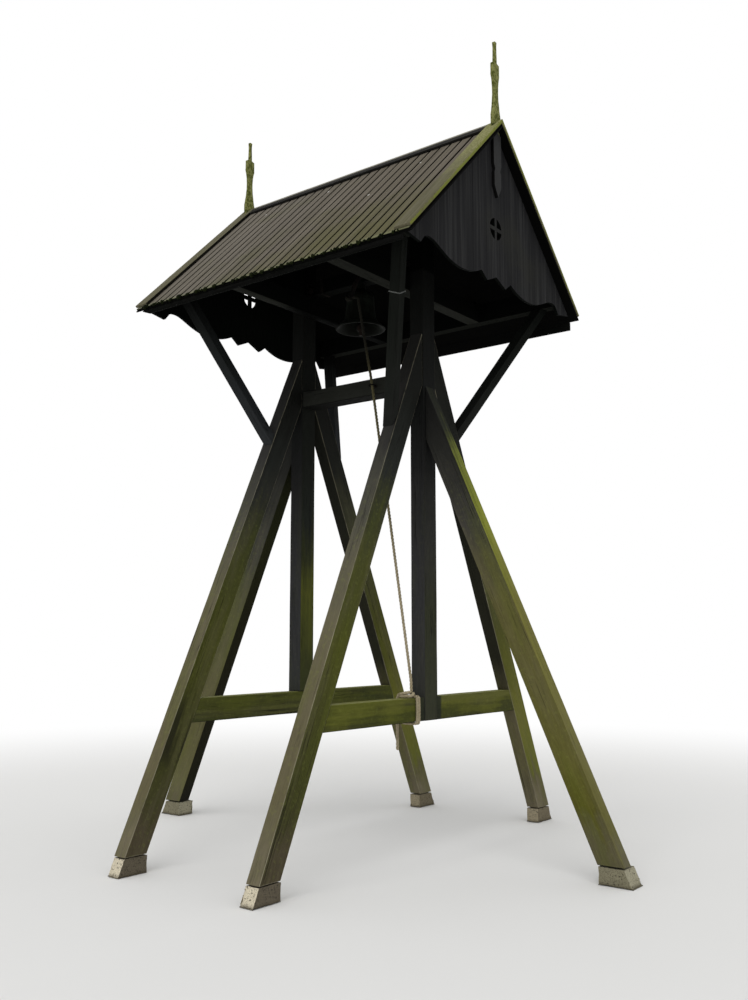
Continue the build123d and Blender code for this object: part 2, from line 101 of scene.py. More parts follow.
# %% A reading of the surface
class Reading:
    """A value that varies over a surface, with arithmetic that adds nodes."""

    def __init__(self, graph, socket):
        self.graph = graph
        self.socket = socket

    def __add__(self, other):
        return self.graph.number("ADD", self, other)

    def __mul__(self, other):
        return self.graph.number("MULTIPLY", self, other)

    def __sub__(self, other):
        return self.graph.number("SUBTRACT", self, other)

    def __rsub__(self, other):
        return self.graph.number("SUBTRACT", other, self)

    def __abs__(self):
        return self.graph.number("ABSOLUTE", self)

    def __floor__(self):
        return self.graph.number("FLOOR", self)

    __radd__, __rmul__ = __add__, __mul__

    def to(self, low, high):
        """The reading stretched from a range to 0 to 1, with soft ends."""
        smooth = {"interpolation_type": "SMOOTHSTEP"}
        return self.graph.node("ShaderNodeMapRange", smooth, {0: self, 1: low, 2: high})


print("readings ready")


# %% Paint and a graph of nodes
def paint(red, green, blue):
    """A colour as a painter's chart gives it, from 0 to 255, in the shader's linear light."""
    shares = [c / 255 for c in (red, green, blue)]
    return [c / 12.92 if c < 0.04045 else ((c + 0.055) / 1.055) ** 2.4 for c in shares] + [1.0]


class Graph:
    """A tree of nodes under way."""

    def __init__(self, tree):
        self.tree = tree

    def node(self, kind, settings, inputs, output=0):
        """One node: its settings first, then the values or links of its sockets."""
        made = self.tree.nodes.new(kind)
        for name, value in settings.items():
            if name == "stops":
                stops = made.color_ramp.elements
                while len(stops) < len(value):
                    stops.new(0.5)
                for stop, (position, colour) in zip(stops, value):
                    stop.position = position
                    stop.color = colour
            else:
                setattr(made, name, value)
        for name, value in inputs.items():
            if isinstance(value, Reading):
                self.tree.links.new(value.socket, made.inputs[name])
            else:
                made.inputs[name].default_value = value
        return Reading(self, made.outputs[output])

    def number(self, operation, first, second=0):
        return self.node("ShaderNodeMath", {"operation": operation}, {0: first, 1: second})

    def vector(self, operation, inputs, output=0):
        return self.node("ShaderNodeVectorMath", {"operation": operation}, inputs, output)

    def ends_in(self, reading, last, socket):
        """Link a reading to a socket of a node that is there already."""
        self.tree.links.new(reading.socket, self.tree.nodes[last].inputs[socket])


print("a painter's 128 is", round(paint(128, 128, 128)[0], 3), "in linear light")


# %% A finish
class Finish(Graph):
    """A material under way, with the few readings that timber, stone and rope need."""

    def __init__(self, name, roughness=0.8, gloss=0.12):
        self.material = bpy.data.materials.new(name)
        self.material.use_nodes = True
        super().__init__(self.material.node_tree)
        self.shader = self.tree.nodes["Principled BSDF"]
        self.shader.inputs["Roughness"].default_value = roughness
        self.shader.inputs["Specular IOR Level"].default_value = gloss
        self.place = self.node("ShaderNodeTexCoord", {}, {}, "Object")
        self.facing = self.node("ShaderNodeNewGeometry", {}, {}, "True Normal")
        self.colour = None

    def at(self, direction):
        """How far the place reaches along a direction."""
        return self.vector("DOT_PRODUCT", {0: self.place, 1: tuple(direction)}, "Value")

    def looks(self, direction):
        """How much the face looks along a direction."""
        return self.vector("DOT_PRODUCT", {0: self.facing, 1: tuple(direction)}, "Value")

    def noise(self, scale, detail=3.0, vector=None):
        inputs = {"Scale": scale, "Detail": detail, "Roughness": 0.55}
        return self.node("ShaderNodeTexNoise", {}, {"Vector": vector or self.place, **inputs})

    def streaks(self, grain, lengthwise, crosswise, detail):
        """A noise on a place that is squeezed along the grain, so that it runs with it."""
        reach = self.at(grain) * (crosswise - lengthwise)
        run = self.vector("SCALE", {0: tuple(grain), "Scale": reach})
        spread = self.vector("SCALE", {0: self.place, "Scale": crosswise})
        return self.noise(1.0, detail, self.vector("SUBTRACT", {0: spread, 1: run}))

    def mix(self, under, over, share):
        """One colour laid over another, by a share. A tuple is a painter's colour."""
        coats = [paint(*coat) if isinstance(coat, tuple) else coat for coat in (under, over)]
        settings = {"data_type": "RGBA", "clamp_factor": True}
        return self.node("ShaderNodeMix", settings, {0: share, 6: coats[0], 7: coats[1]}, 2)

    def start(self, under, over, share):
        """The first two colours of a finish."""
        self.colour = self.mix(under, over, share)

    def lay(self, over, share):
        """A coat laid over the colour so far."""
        self.start(self.colour, over, share)

    def shade(self, share):
        """The colour so far darkened or lightened by a share."""
        self.colour = self.vector("SCALE", {0: self.colour, "Scale": share})

    def done(self, height, depth=0.002):
        """Links the colour and the relief to the shader and gives the material."""
        inputs = {"Strength": 1.0, "Distance": depth, "Height": height}
        self.ends_in(self.colour, self.shader.name, "Base Color")
        self.ends_in(self.node("ShaderNodeBump", {}, inputs), self.shader.name, "Normal")
        return self.material


print("finishes ready")

# %% [markdown]
# ## Tarred and weathered timber
# The frame was tarred black. Under the roof the tar is still black, and it is painted darker
# still as the roof's shade. Further down, rain and light have worn it to grey and brown, and
# algae have turned the damp faces yellow-green. Faces that look along X and faces that look
# along Y get colours of their own, partly from the weather on one side and partly as painted
# light and shade from the side that the light comes from. Each is a list of heights and
# colours from the ground up, which a colour ramp blends. The grain direction turns streaks,
# fibres and cracks to the timber's run.
# A picture of real timber could be wrapped round instead, but it would repeat and show seams,
# so the colour is worked out from the place.


# %% Timber recipe
BROWN_GREY = (106, 99, 80)
ALGAE = (84, 92, 20)
ALGAE_PALE = (122, 128, 62)
CRACK = (15, 15, 12)
SOAKED = (30, 28, 21)
# Near-black of tar and of painted shade, for faces that look down.
TAR_AND_SHADE_BLACK = (13, 14, 12)
HEIGHT_OF_FRAME = 6.0
UP = Vector((0, 0, 1))
X_RUN = Vector((1, 0, 0))
Y_RUN = Vector((0, 1, 0))


def heights(*stops):
    """Ramp stops from heights in metres and painter's colours."""
    return [(height / HEIGHT_OF_FRAME, paint(*colour)) for height, *colour in stops]


def timber(
    name, grain, facing_y, facing_x=None, algae=0.5, gloss=0.08, under=TAR_AND_SHADE_BLACK,
    underside_paint_from=0, joint=0, pale_arris=0, soaked=0, lit_to=None,
):
    """Weathered timber, from the colours of its faces along Y and along X.

    The colours of the faces hold painted light and shade as well as weathering. Faces that look
    down take the colour under, from a given height upwards and, where lit_to is given, up to
    that place along Y: painted shade where that colour is darker, painted light from the floor
    where it is lighter. A tie is dark within the distance joint of the post that it meets at Y
    0.
    Arrises are paler by a given share, and the pieces on the left have a dark patch above the
    foot, by the share soaked.
    """
    finish = Finish(name, 0.85, gloss)
    rise = finish.at(UP)
    streak = finish.streaks(grain, 0.9, 26, 4)
    fibre = finish.streaks(grain, 5, 210, 3)
    patch = finish.noise(2.6, 5)
    wander = rise * (1 / HEIGHT_OF_FRAME) + (patch - 0.5) * 0.12 + (streak - 0.5) * 0.09
    faces = [
        finish.node("ShaderNodeValToRGB", {"stops": stops}, {0: wander})
        for stops in (facing_y, facing_x or facing_y)
    ]
    across = abs(finish.looks(X_RUN))
    sideways = across.to(0.5, 0.8)
    finish.start(*faces, sideways)

    damp = finish.streaks(grain, 1.0, 8, 4)
    low_down = rise.to(3.2, 2.4) * algae
    finish.lay(ALGAE, damp.to(0.5, 0.64) * low_down * 0.4)
    finish.lay(BROWN_GREY, damp.to(0.5, 0.36) * low_down * 0.3)
    finish.lay(ALGAE_PALE, finish.noise(34, 5).to(0.52, 0.7) * low_down * 0.3)
    looks_up = finish.looks(UP)
    finish.lay((150, 150, 92), looks_up.to(0.7, 0.95) * low_down)
    if joint:
        finish.lay((34, 37, 32), abs(finish.at(Y_RUN)).to(joint, joint - 0.03) * 0.9)
    if soaked:
        wet = rise.to(0.62, 0.85) * rise.to(1.4, 1.05) * damp.to(0.4, 0.52) * sideways
        finish.lay(SOAKED, wet * finish.at(X_RUN).to(0, -0.1) * soaked)
    # Painted shade on faces that look down where the colour under is darker, painted light from
    # the floor where it is lighter.
    if under is not None:
        painted_underside = looks_up.to(-0.2, -0.35) * rise.to(underside_paint_from - 0.5, underside_paint_from)
        if lit_to is not None:
            painted_underside = painted_underside * finish.at(Y_RUN).to(lit_to + 0.15, lit_to - 0.15)
        finish.lay(under, painted_underside * 0.92)

    line = finish.streaks(grain, 0.45, 40, 2)
    where = finish.streaks(grain, 1.2, 6, 2).to(0.5, 0.62)
    crack = abs(line - 0.5).to(0.01, 0.003) * where
    finish.lay(CRACK, crack * 0.75)
    splinter = finish.streaks(grain, 14, 150, 3)
    # Arrises are made paler by this share.
    if pale_arris:
        arris = across.to(0.3, 0.45) * across.to(0.97, 0.9) * splinter.to(0.25, 0.5)
        finish.lay(finish.mix(finish.colour, (170, 164, 140), 0.6), arris * pale_arris)
    finish.shade(0.5 + streak * 0.2 + fibre * 0.24 + splinter * 0.58)
    return finish.done(fibre * 0.4 + streak * 0.5 - crack * 1.6, 0.003)


print("timber recipe ready, up to", HEIGHT_OF_FRAME, "m")

# %% Grain of the leaning timbers
LEG_LEAN = math.radians(24.37)
STRUT_LEAN = math.radians(24.08)
ENDS = {"left": -1, "right": 1}
SIDES = {"near": -1, "far": 1}
leg_grain, strut_grain = {}, {}
for side, sy in SIDES.items():
    leg_grain[side] = Vector((0, -sy * math.sin(LEG_LEAN), math.cos(LEG_LEAN)))
for end, sx in ENDS.items():
    strut_grain[end] = Vector((-sx * math.sin(STRUT_LEAN), 0, math.cos(STRUT_LEAN)))
print("a leg runs", [round(v, 3) for v in leg_grain["near"]])

# %% Colours of the legs and struts
# Toward the roof these colours darken, partly tar and partly painted shade, and the faces along
# X and along Y differ partly by painted light and shade.
leg_front = heights(
    (0.15, 104, 97, 78), (0.35, 94, 89, 68), (0.62, 91, 85, 62), (1.9, 93, 88, 69),
    (2.6, 70, 69, 60), (3.2, 47, 46, 44), (3.9, 32, 32, 30),
)
near_leg_side = heights(
    (0.2, 74, 67, 50), (0.5, 64, 63, 36), (0.8, 64, 65, 32), (1.5, 72, 74, 30),
    (2.2, 68, 70, 34), (2.9, 38, 40, 37), (3.5, 21, 22, 19), (4.0, 18, 19, 16),
)
far_leg_side = heights(
    (0.15, 112, 105, 84), (0.35, 94, 90, 62), (0.5, 98, 100, 44), (0.9, 100, 100, 42),
    (1.7, 74, 75, 31), (2.4, 66, 66, 48), (3.2, 30, 31, 27), (3.9, 18, 19, 16),
)
strut_outer = heights(
    (0.15, 96, 92, 70), (0.35, 96, 93, 44), (0.8, 105, 101, 60), (1.9, 110, 107, 50),
    (2.5, 128, 132, 50), (3.1, 108, 114, 50), (3.24, 72, 76, 42), (3.38, 42, 44, 34),
    (3.6, 35, 36, 33), (4.0, 28, 28, 26),
)
strut_side_left = heights(
    (0.2, 90, 86, 64), (0.35, 94, 92, 62), (0.8, 86, 83, 54), (1.9, 80, 80, 52),
    (2.5, 60, 60, 54), (3.1, 40, 40, 37), (3.6, 24, 24, 23),
)
strut_side = heights(
    (0.2, 84, 80, 56), (0.4, 79, 77, 30), (0.8, 89, 86, 42), (1.9, 89, 85, 51),
    (2.5, 62, 60, 55), (3.1, 40, 40, 37), (3.6, 28, 28, 27),
)
print("stops on a leg", len(leg_front), "and on a strut", len(strut_outer))

# %% Colours of the posts, ties and beams
# The posts darken toward the top, partly tar and partly painted shade under the roof.
post_y_faces = heights(
    (1.0, 50, 51, 48), (1.9, 48, 48, 49), (2.4, 44, 44, 44), (3.0, 30, 30, 30),
    (3.4, 24, 25, 24), (4.4, 14, 15, 13),
)
post_x_faces = {
    "left": heights(
        (1.1, 54, 57, 33), (1.5, 56, 59, 32), (2.0, 80, 83, 34), (2.35, 52, 55, 32),
        (2.7, 33, 36, 32), (3.2, 24, 26, 22), (4.4, 13, 14, 12),
    ),
    "right": heights(
        (1.2, 52, 54, 42), (1.8, 49, 51, 38), (2.4, 46, 46, 43), (3.0, 30, 30, 29),
        (3.4, 24, 25, 24), (4.4, 14, 15, 13),
    ),
}
tie_green = heights((1.0, 56, 60, 30), (1.08, 64, 66, 31), (1.2, 74, 77, 32))
tie_green_right = heights((1.0, 60, 62, 30), (1.08, 76, 78, 31), (1.2, 88, 90, 36))
beam_dark = heights((3.6, 40, 41, 37), (3.85, 34, 35, 31))
lit_from_below = (34, 35, 31)
LEFT_LIT_TO = -0.4
print("stops on a post", len(post_y_faces), "and on a tie", len(tie_green))

# %% Finishes of the frame's timbers
finishes = {}
# The legs' faces that look down are painted darker, as shade, from 1.5 m upwards.
for side, leg_side in (("near", near_leg_side), ("far", far_leg_side)):
    finishes[f"leg_{side}"] = timber(
        f"leg_timber_{side}", leg_grain[side], leg_front, leg_side, under=(26, 27, 20),
        underside_paint_from=1.5, pale_arris=1, soaked=0.8 * float(side == "near"),
    )
for end, side_ramp in (("left", strut_side_left), ("right", strut_side)):
    finishes[f"strut_{end}"] = timber(
        f"strut_timber_{end}", strut_grain[end], side_ramp, strut_outer
    )
for end in ENDS:
    finishes[f"post_{end}"] = timber(
        f"post_timber_{end}", UP, post_y_faces, post_x_faces[end], 0.1, 0.06
    )
for end, green, joint in (("left", tie_green, 0), ("right", tie_green_right, 0.158)):
    finishes[f"tie_{end}"] = timber(f"tie_timber_{end}", Y_RUN, green, algae=0.4, joint=joint)
finishes["middle"] = timber("middle_beam_timber", X_RUN, beam_dark, algae=0, gloss=0.04)


def roof_timber(name, grain, stops=((4.3, 8, 9, 8), (4.7, 5, 6, 5)), **settings):
    """Tar that is still black, painted darker still as the shade under the roof."""
    return timber(name, grain, heights(*stops), algae=0, gloss=0.02, **settings)


# Under the roof the undersides of the tie beams and plates get painted light from the floor, the
# left tie beam's only up to LEFT_LIT_TO along Y.
for end, lit_to in (("left", LEFT_LIT_TO), ("right", None)):
    finishes[f"across_{end}"] = roof_timber(
        f"tie_beam_timber_{end}", Y_RUN, under=lit_from_below, lit_to=lit_to
    )
finishes["lengthwise"] = roof_timber("plate_timber", X_RUN, under=(24, 25, 22))
finishes["king"] = roof_timber("king_post_timber", UP)
print(len(finishes), "timber finishes")

# %% [markdown]
# ## Working a timber
# A sawn timber has eased arrises and is never quite straight. A copy of the plain piece is
# merged, its edges get a narrow bevel, planes across the grain cut it into short lengths, and
# a slow noise then presses the faces in by a few millimetres. That works inwards only, which
# keeps the timber inside the plain piece. A bump in the finish could suggest the same, but
# only real shape shows in the outline.


# %% Helpers for picking, copying and cutting
def pick(*pieces):
    """Select only these, the last one active."""
    bpy.ops.object.select_all(action="DESELECT")
    for piece in pieces:
        piece.select_set(True)
        bpy.context.view_layer.objects.active = piece


def fresh():
    """The object that the last operator made or changed."""
    return bpy.context.view_layer.objects.active


@contextmanager
def editing(piece):
    """Edit mode on a piece, with all of it selected."""
    pick(piece)
    bpy.ops.object.mode_set(mode="EDIT")
    bpy.ops.mesh.select_all(action="SELECT")
    yield
    bpy.ops.object.mode_set(mode="OBJECT")


def copied(node, name):
    """A copy of a plain piece, its loose triangles merged into clean faces."""
    piece = placed(name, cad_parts[node].data.copy())
    pick(piece)
    bpy.ops.mesh.customdata_custom_splitnormals_clear()
    with editing(piece):
        bpy.ops.mesh.remove_doubles(threshold=0.00005)
        bpy.ops.mesh.dissolve_limited(angle_limit=math.radians(0.5))
    return piece


def joined(name, pieces):
    """Several pieces as one, with its place in its mesh."""
    pick(*pieces)
    bpy.ops.object.transform_apply()
    bpy.ops.object.join()
    piece = fresh()
    piece.name = name
    return piece


def sliced(piece, place, direction, keep):
    """Cut a piece by a plane and keep what lies above or below it."""
    with editing(piece):
        bpy.ops.mesh.bisect(
            plane_co=place, plane_no=direction, use_fill=True,
            clear_inner=keep == "above", clear_outer=keep == "below",
        )


def cut_into_lengths(piece, grain, step):
    """Cut loops across the grain at even steps, for the wear to move."""
    reach = [grain.dot(vertex.co) for vertex in piece.data.vertices]
    low, high = min(reach), max(reach)
    count = int((high - low) / step)
    with editing(piece):
        for index in range(1, count + 1):
            place = low + (high - low) * index / (count + 1)
            bpy.ops.mesh.select_all(action="SELECT")
            bpy.ops.mesh.bisect(plane_co=grain * place, plane_no=grain)


print("cutting helpers ready")


# %% Helpers for wearing and dressing
def modified(piece, kind, **settings):
    """Add a modifier, set it and apply it."""
    pick(piece)
    modifier = piece.modifiers.new(kind.lower(), kind)
    for name, value in settings.items():
        setattr(modifier, name, value)
    bpy.ops.object.modifier_apply(modifier=modifier.name)


def eased(piece, width, segments=2):
    """Bevel the sharp edges."""
    sharp = {"limit_method": "ANGLE", "angle_limit": math.radians(25)}
    modified(piece, "BEVEL", width=width, segments=segments, **sharp)


FINE, COARSE, SLOW = 0.03, 0.09, 0.35
lump = {}
for size in (FINE, COARSE, SLOW):
    lump[size] = bpy.data.textures.new(f"lumps_{round(size * 1000)}", "CLOUDS")
    lump[size].noise_scale = size


def pressed(piece, depth, size):
    """Press the surface in by a noise, up to a depth."""
    modified(piece, "DISPLACE", texture=lump[size], strength=-depth, mid_level=0)


def shaded(piece, angle=35, flat_faces=False):
    """Smooth shading over the eased edges only, with wide faces kept flat if asked."""
    pick(piece)
    bpy.ops.object.shade_smooth_by_angle(angle=math.radians(angle))
    if flat_faces:
        modified(piece, "WEIGHTED_NORMAL", keep_sharp=True)


def dressed(piece, finish, slot, *nodes, body="tower"):
    """Give a worked piece its finish and its body, and hide the plain pieces it stands for. The
    slot is not used.
    """
    piece.data.materials.clear()
    piece.data.materials.append(finish)
    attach(piece, body)
    if nodes:
        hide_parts(*nodes)
    return piece


def worked(
    node, ending, finish, slot, arris=0.0015, body="tower", grain=None, step=0.12, wear=0.003,
    size=SLOW, flat_faces=False,
):
    """A copy of a plain piece: eased, cut along its grain, worn, shaded and dressed."""
    piece = copied(node, f"{node}_{ending}")
    if arris:
        eased(piece, arris)
    if grain is not None:
        cut_into_lengths(piece, grain, step)
        pressed(piece, wear, size)
    shaded(piece, flat_faces=flat_faces)
    return dressed(piece, finish, slot, node, body=body)


def worked_timber(node, grain, finish, arris=0.005, **settings):
    """A sawn timber."""
    return worked(
        node, "timber", finish, "tarred_oak", arris, grain=grain, flat_faces=True, **settings
    )


print("dressing helpers ready, with lumps of", [round(size, 2) for size in lump], "m")

# %% [markdown]
# ## The frame's timbers
# Legs, struts, posts and beams are all worked the same way, each along its own grain. The left
# tie beam has its lower outer arris planed off. They could be modelled anew, but copies keep
# every joint where the construction has it.

# %% Legs, struts, posts and beams
CHAMFER = 0.03
made = []
for end in ENDS:
    for side in SIDES:
        leg = worked_timber(f"leg_{end}_{side}", leg_grain[side], finishes[f"leg_{side}"])
        made.append(leg)
    for node, grain, finish in (
        ("end_strut", strut_grain[end], f"strut_{end}"),
        ("centre_post", UP, f"post_{end}"),
        ("lower_tie", Y_RUN, f"tie_{end}"),
        ("tie_beam", Y_RUN, f"across_{end}"),
        ("king_post", UP, "king"),
    ):
        made.append(worked_timber(f"{node}_{end}", grain, finishes[finish]))
        if node == "tie_beam" and end == "left":
            corner = Vector((-1, 0, -1)).normalized()
            furthest = max(corner.dot(vertex.co) for vertex in made[-1].data.vertices)
            depth = CHAMFER * math.sqrt(0.5)
            sliced(made[-1], corner * (furthest - depth), corner, "below")
for node, finish in (
    ("middle_beam", "middle"),
    ("ridge_beam", "lengthwise"),
    ("eave_plate_near", "lengthwise"),
    ("eave_plate_far", "lengthwise"),
):
    made.append(worked_timber(node, X_RUN, finishes[finish]))
print(len(made), "timbers worked")

# %% [markdown]
# ## Corner braces
# The four braces carry the corners of the roof from the outer faces of the legs. They are
# black above, tar and painted shade under the roof, and pale grey-green where the rain reaches
# them. Each brace leans its own way, so its grain is read from the middles of its foot and its
# head. The heads of the left braces are shifted along the ridge to where the picture has them.


# %% Braces
def run_of(node):
    """Direction from the middle of a piece's lowest points to that of its highest."""
    points = [vertex.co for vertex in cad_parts[node].data.vertices]
    low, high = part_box(node)
    foot = [p for p in points if p.z < low.z + 0.3 * (high.z - low.z)]
    head = [p for p in points if p.z > high.z - 0.3 * (high.z - low.z)]
    return (sum(head, Vector()) / len(head) - sum(foot, Vector()) / len(foot)).normalized()


# The braces darken upward, partly tar and partly painted shade under the roof.
brace_dark = {
    "left": heights((3.3, 46, 48, 49), (3.7, 34, 36, 37), (4.1, 24, 26, 25), (4.5, 11, 12, 11)),
    "right": heights((3.3, 30, 31, 29), (3.7, 25, 27, 24), (4.1, 19, 21, 18), (4.5, 8, 10, 8)),
}
HEAD_SHIFT = {"near": 0.135, "far": -0.05}
for end, side in product(ENDS, SIDES):
    node = f"corner_brace_{end}_{side}"
    grain = run_of(node)
    finish = timber(f"{node}_finish", grain, brace_dark[end], algae=0.1, gloss=0.04, under=None)
    brace = worked_timber(node, grain, finish, step=0.1)
    if end == "left":
        foot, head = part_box(node)
        for vertex in brace.data.vertices:
            rise = (vertex.co.z - foot.z) / (head.z - foot.z)
            vertex.co.x += HEAD_SHIFT[side] * min(max(rise, 0.0), 1.0)
print("braces done")

# %% [markdown]
# ## Roof boards
# The roof is laid with boards that run from the ridge to the eave, over a close lining. The
# plain slope is split into two by a plane: the lower part stays whole as the lining, and the
# upper part is sawn across, once for each joint, with a gap as wide as the shrunk boards leave.
# Each gap is a real groove, and the finish also paints shade black in it and under the boards.


# %% Sawing a panel into boards
def sawn(panel, name, across, cuts, gap, drift=None):
    """Boards of a panel, cut at places along a direction, joined into one piece."""
    boards = []
    for index, (low, high) in enumerate(zip(cuts, cuts[1:])):
        board = placed(f"{name}_{index}", panel.data.copy())
        sliced(board, across * (low + gap / 2), across, "above")
        sliced(board, across * (high - gap / 2), across, "below")
        if drift is not None:
            board.location = drift()
        boards.append(board)
    bpy.data.objects.remove(panel)
    return joined(name, boards)


print("saw ready")

# %% Sizes of the roof
RIDGE = 5.708
EAVE_HEIGHT = 4.417
EAVE_Y = 1.275
PITCH = math.atan2(RIDGE - EAVE_HEIGHT, EAVE_Y)
SLOPE_LENGTH = EAVE_Y / math.cos(PITCH)
ROOF_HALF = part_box("roof_slope_near")[1].x
VERGE_WIDTH = 0.14
ROOF_GAP = 0.025
BOARD_THICKNESS = 0.018
BOARD_ARRIS = 0.002
ROOF_BOARDS = 25
INNER_HALF = ROOF_HALF - VERGE_WIDTH
ROOF_BOARD = 2 * INNER_HALF / ROOF_BOARDS
BIRD_LIME = ((0.8, 0.33), (0.57, 0.26), (0.5, 0.75), (-0.23, 0.24), (-0.96, 0.28))


def slope_axes(sy):
    """Directions down a slope and out of it."""
    down = Vector((0, sy * math.cos(PITCH), -math.sin(PITCH)))
    normal = Vector((0, sy * math.sin(PITCH), math.cos(PITCH)))
    return down, normal


print("pitch", round(math.degrees(PITCH), 1), "degrees, boards", round(ROOF_BOARD, 3), "m wide")


# %% Finish of the roof boards
def board_tones(finish, run, board, count):
    """A tone of its own for each board, numbered from a place that many boards away."""
    number = math.floor((finish.at(run) + board * count) * (1 / board))
    return finish.node("ShaderNodeTexWhiteNoise", {"noise_dimensions": "1D"}, {"W": number})


def board_finish(name, sy):
    """Grey-brown boards with tones of their own, with painted shade black in the grooves and
    underneath.
    """
    finish = Finish(name, 0.9, 0.04)
    down, normal = slope_axes(sy)
    reach = finish.at(X_RUN)
    own = board_tones(finish, X_RUN, ROOF_BOARD, ROOF_BOARDS)
    streak = finish.streaks(down, 1.1, 60, 4)
    fibre = finish.streaks(down, 5, 240, 2)
    patch = finish.noise(1.4, 4)
    finish.start((108, 101, 91), (93, 87, 75), streak.to(0.35, 0.65))
    finish.lay((104, 98, 88), patch.to(0.5, 0.75) * 0.5)
    low = finish.at(down) + RIDGE * math.sin(PITCH)
    green = patch + low * 0.1 + reach * 0.06
    finish.lay((88, 86, 56), green.to(0.56, 0.82) * 0.75)
    ragged = low + (streak - 0.5) * 0.08
    edge = ragged.to(SLOPE_LENGTH - 0.05, SLOPE_LENGTH - 0.015)
    finish.lay((116, 118, 88), edge * 0.7)
    finish.lay((116, 112, 106), reach.to(0.5, -0.7) * 0.22)
    finish.shade(0.7 + own * 0.2 + fibre * 0.3)
    for place, below in BIRD_LIME if sy < 0 else []:
        spot = Vector((place, 0, RIDGE)) + down * below + normal * 0.001
        near = finish.vector("DISTANCE", {0: finish.place, 1: spot}, "Value")
        finish.lay((196, 194, 188), (near + (fibre - 0.5) * 0.02).to(0.012, 0.007))
    # Painted shade: all below the boards' top face is black, in the grooves and underneath.
    painted_groove_shade = (finish.at(normal) - RIDGE * math.cos(PITCH)).to(-0.006, -0.003)
    finish.start((6, 6, 5), finish.colour, painted_groove_shade)
    return finish.done(fibre * 0.4 + streak * 0.4)


def slope_drift(sy):
    """A board's own small step off the slope and along it."""
    down, normal = slope_axes(sy)
    return lambda: normal * chance.uniform(-0.002, 0.0) + down * chance.uniform(-0.008, 0.0)


print("roof finish ready, with", len(BIRD_LIME), "spots of bird lime")

# %% Both slopes
joints = [-INNER_HALF + ROOF_BOARD * index for index in range(ROOF_BOARDS + 1)]
cuts = [-ROOF_HALF, *joints, ROOF_HALF]
for side, sy in SIDES.items():
    down, normal = slope_axes(sy)
    node = f"roof_slope_{side}"
    split = Vector((0, 0, RIDGE)) - normal * BOARD_THICKNESS
    lining = copied(node, f"roof_lining_{side}")
    sliced(lining, split, normal, "below")
    panel = copied(node, f"roof_panel_{side}")
    sliced(panel, split, normal, "above")
    boards = sawn(panel, f"boards_{side}", X_RUN, cuts, ROOF_GAP, slope_drift(sy))
    eased(boards, BOARD_ARRIS, 1)
    slope = joined(f"roof_boards_{side}", [boards, lining])
    shaded(slope, 20)
    finish = board_finish(f"roof_board_finish_{side}", sy)
    dressed(slope, finish, "roof_boards", node)
    print(slope.name, len(cuts) - 1, "boards", len(slope.data.polygons), "faces")

# %% [markdown]
# ## Gables
# Each gable is a screen of narrow upright boards, tarred dark grey, with a lower edge sawn to
# scallops and a round window with two bars. It is sawn up like the roof. The weather has
# greyed its outer face, and the inner face under the roof is black, tar and painted shade.


# %% Finish of the gables, and a box
def gable_finish(name, board, outward):
    """Dark grey upright boards, each with a slightly different tone, and black inside with tar
    and painted shade.
    """
    finish = Finish(name, 0.85, 0.04)
    own = board_tones(finish, Y_RUN, board, 50.5)
    streak = finish.streaks(UP, 0.8, 34, 4)
    fibre = finish.streaks(UP, 4, 200, 2)
    finish.start((34, 34, 35), (48, 48, 48), streak.to(0.42, 0.7))
    finish.lay((46, 46, 41), finish.noise(1.8).to(0.55, 0.8) * 0.5)
    finish.shade(0.62 + own * 0.2 + fibre * 0.34)
    # Painted shade: the inner face is black.
    finish.start((5, 7, 5), finish.colour, finish.looks(outward).to(0.3, 0.7))
    return finish.done(fibre * 0.3 + streak * 0.4)


def box(size, centre, turn=0.0):
    """A box of a size, turned about X, with its place in its mesh."""
    bpy.ops.mesh.primitive_cube_add(size=1, location=centre, rotation=(turn, 0, 0), scale=size)
    bpy.ops.object.transform_apply()
    return fresh()


print("gable finish ready")

# %% Gables and window bars
GABLE_BOARD = 0.096
BOARD_GAP = 0.0015
SPARE = 0.01
LOWER_EDGE = 4.5
LOWER_EDGE_DROP = 0.034
WINDOW_HEIGHT = 4.84
WINDOW_BARS = ((0.027, 0.032, 0.18), (0.0264, 0.18, 0.032))
for end, sx in ENDS.items():
    finish = gable_finish(f"gable_board_finish_{end}", GABLE_BOARD, (sx, 0, 0))
    node = f"gable_{end}"
    low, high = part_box(node)
    count = math.ceil(high.y / GABLE_BOARD - 0.5)
    cuts = [(index - count - 0.5) * GABLE_BOARD for index in range(2 * count + 2)]
    cuts[0], cuts[-1] = low.y - SPARE, high.y + SPARE
    boards = sawn(copied(node, f"{node}_panel"), f"gable_boards_{end}", Y_RUN, cuts, BOARD_GAP)
    eased(boards, BOARD_ARRIS, 1)
    if end == "left":
        for vertex in boards.data.vertices:
            if vertex.co.z < LOWER_EDGE:
                vertex.co.z -= LOWER_EDGE_DROP
    shaded(boards, 20)
    dressed(boards, finish, "gable_boards", node)
    middle = ((low.x + high.x) / 2, 0, WINDOW_HEIGHT)
    cross = joined(f"window_bars_{end}", [box(size, middle) for size in WINDOW_BARS])
    eased(cross, 0.003)
    dressed(cross, finish, "gable_boards")
    print(boards.name, len(cuts) - 1, "boards")

# %% [markdown]
# ## Verge boards and moss
# The verge boards lie on top of the roof boards. Their upper faces are beige with lichen,
# their outer edges carry a line of bright moss, and the faces that look at the roof are painted
# dark as shadow.
# The moss on the edge is a thin slab rebuilt in small cells and lifted by noise, so its
# outline is real shape. Hair could stand for the moss, but from the ground it looks like a low
# crust.


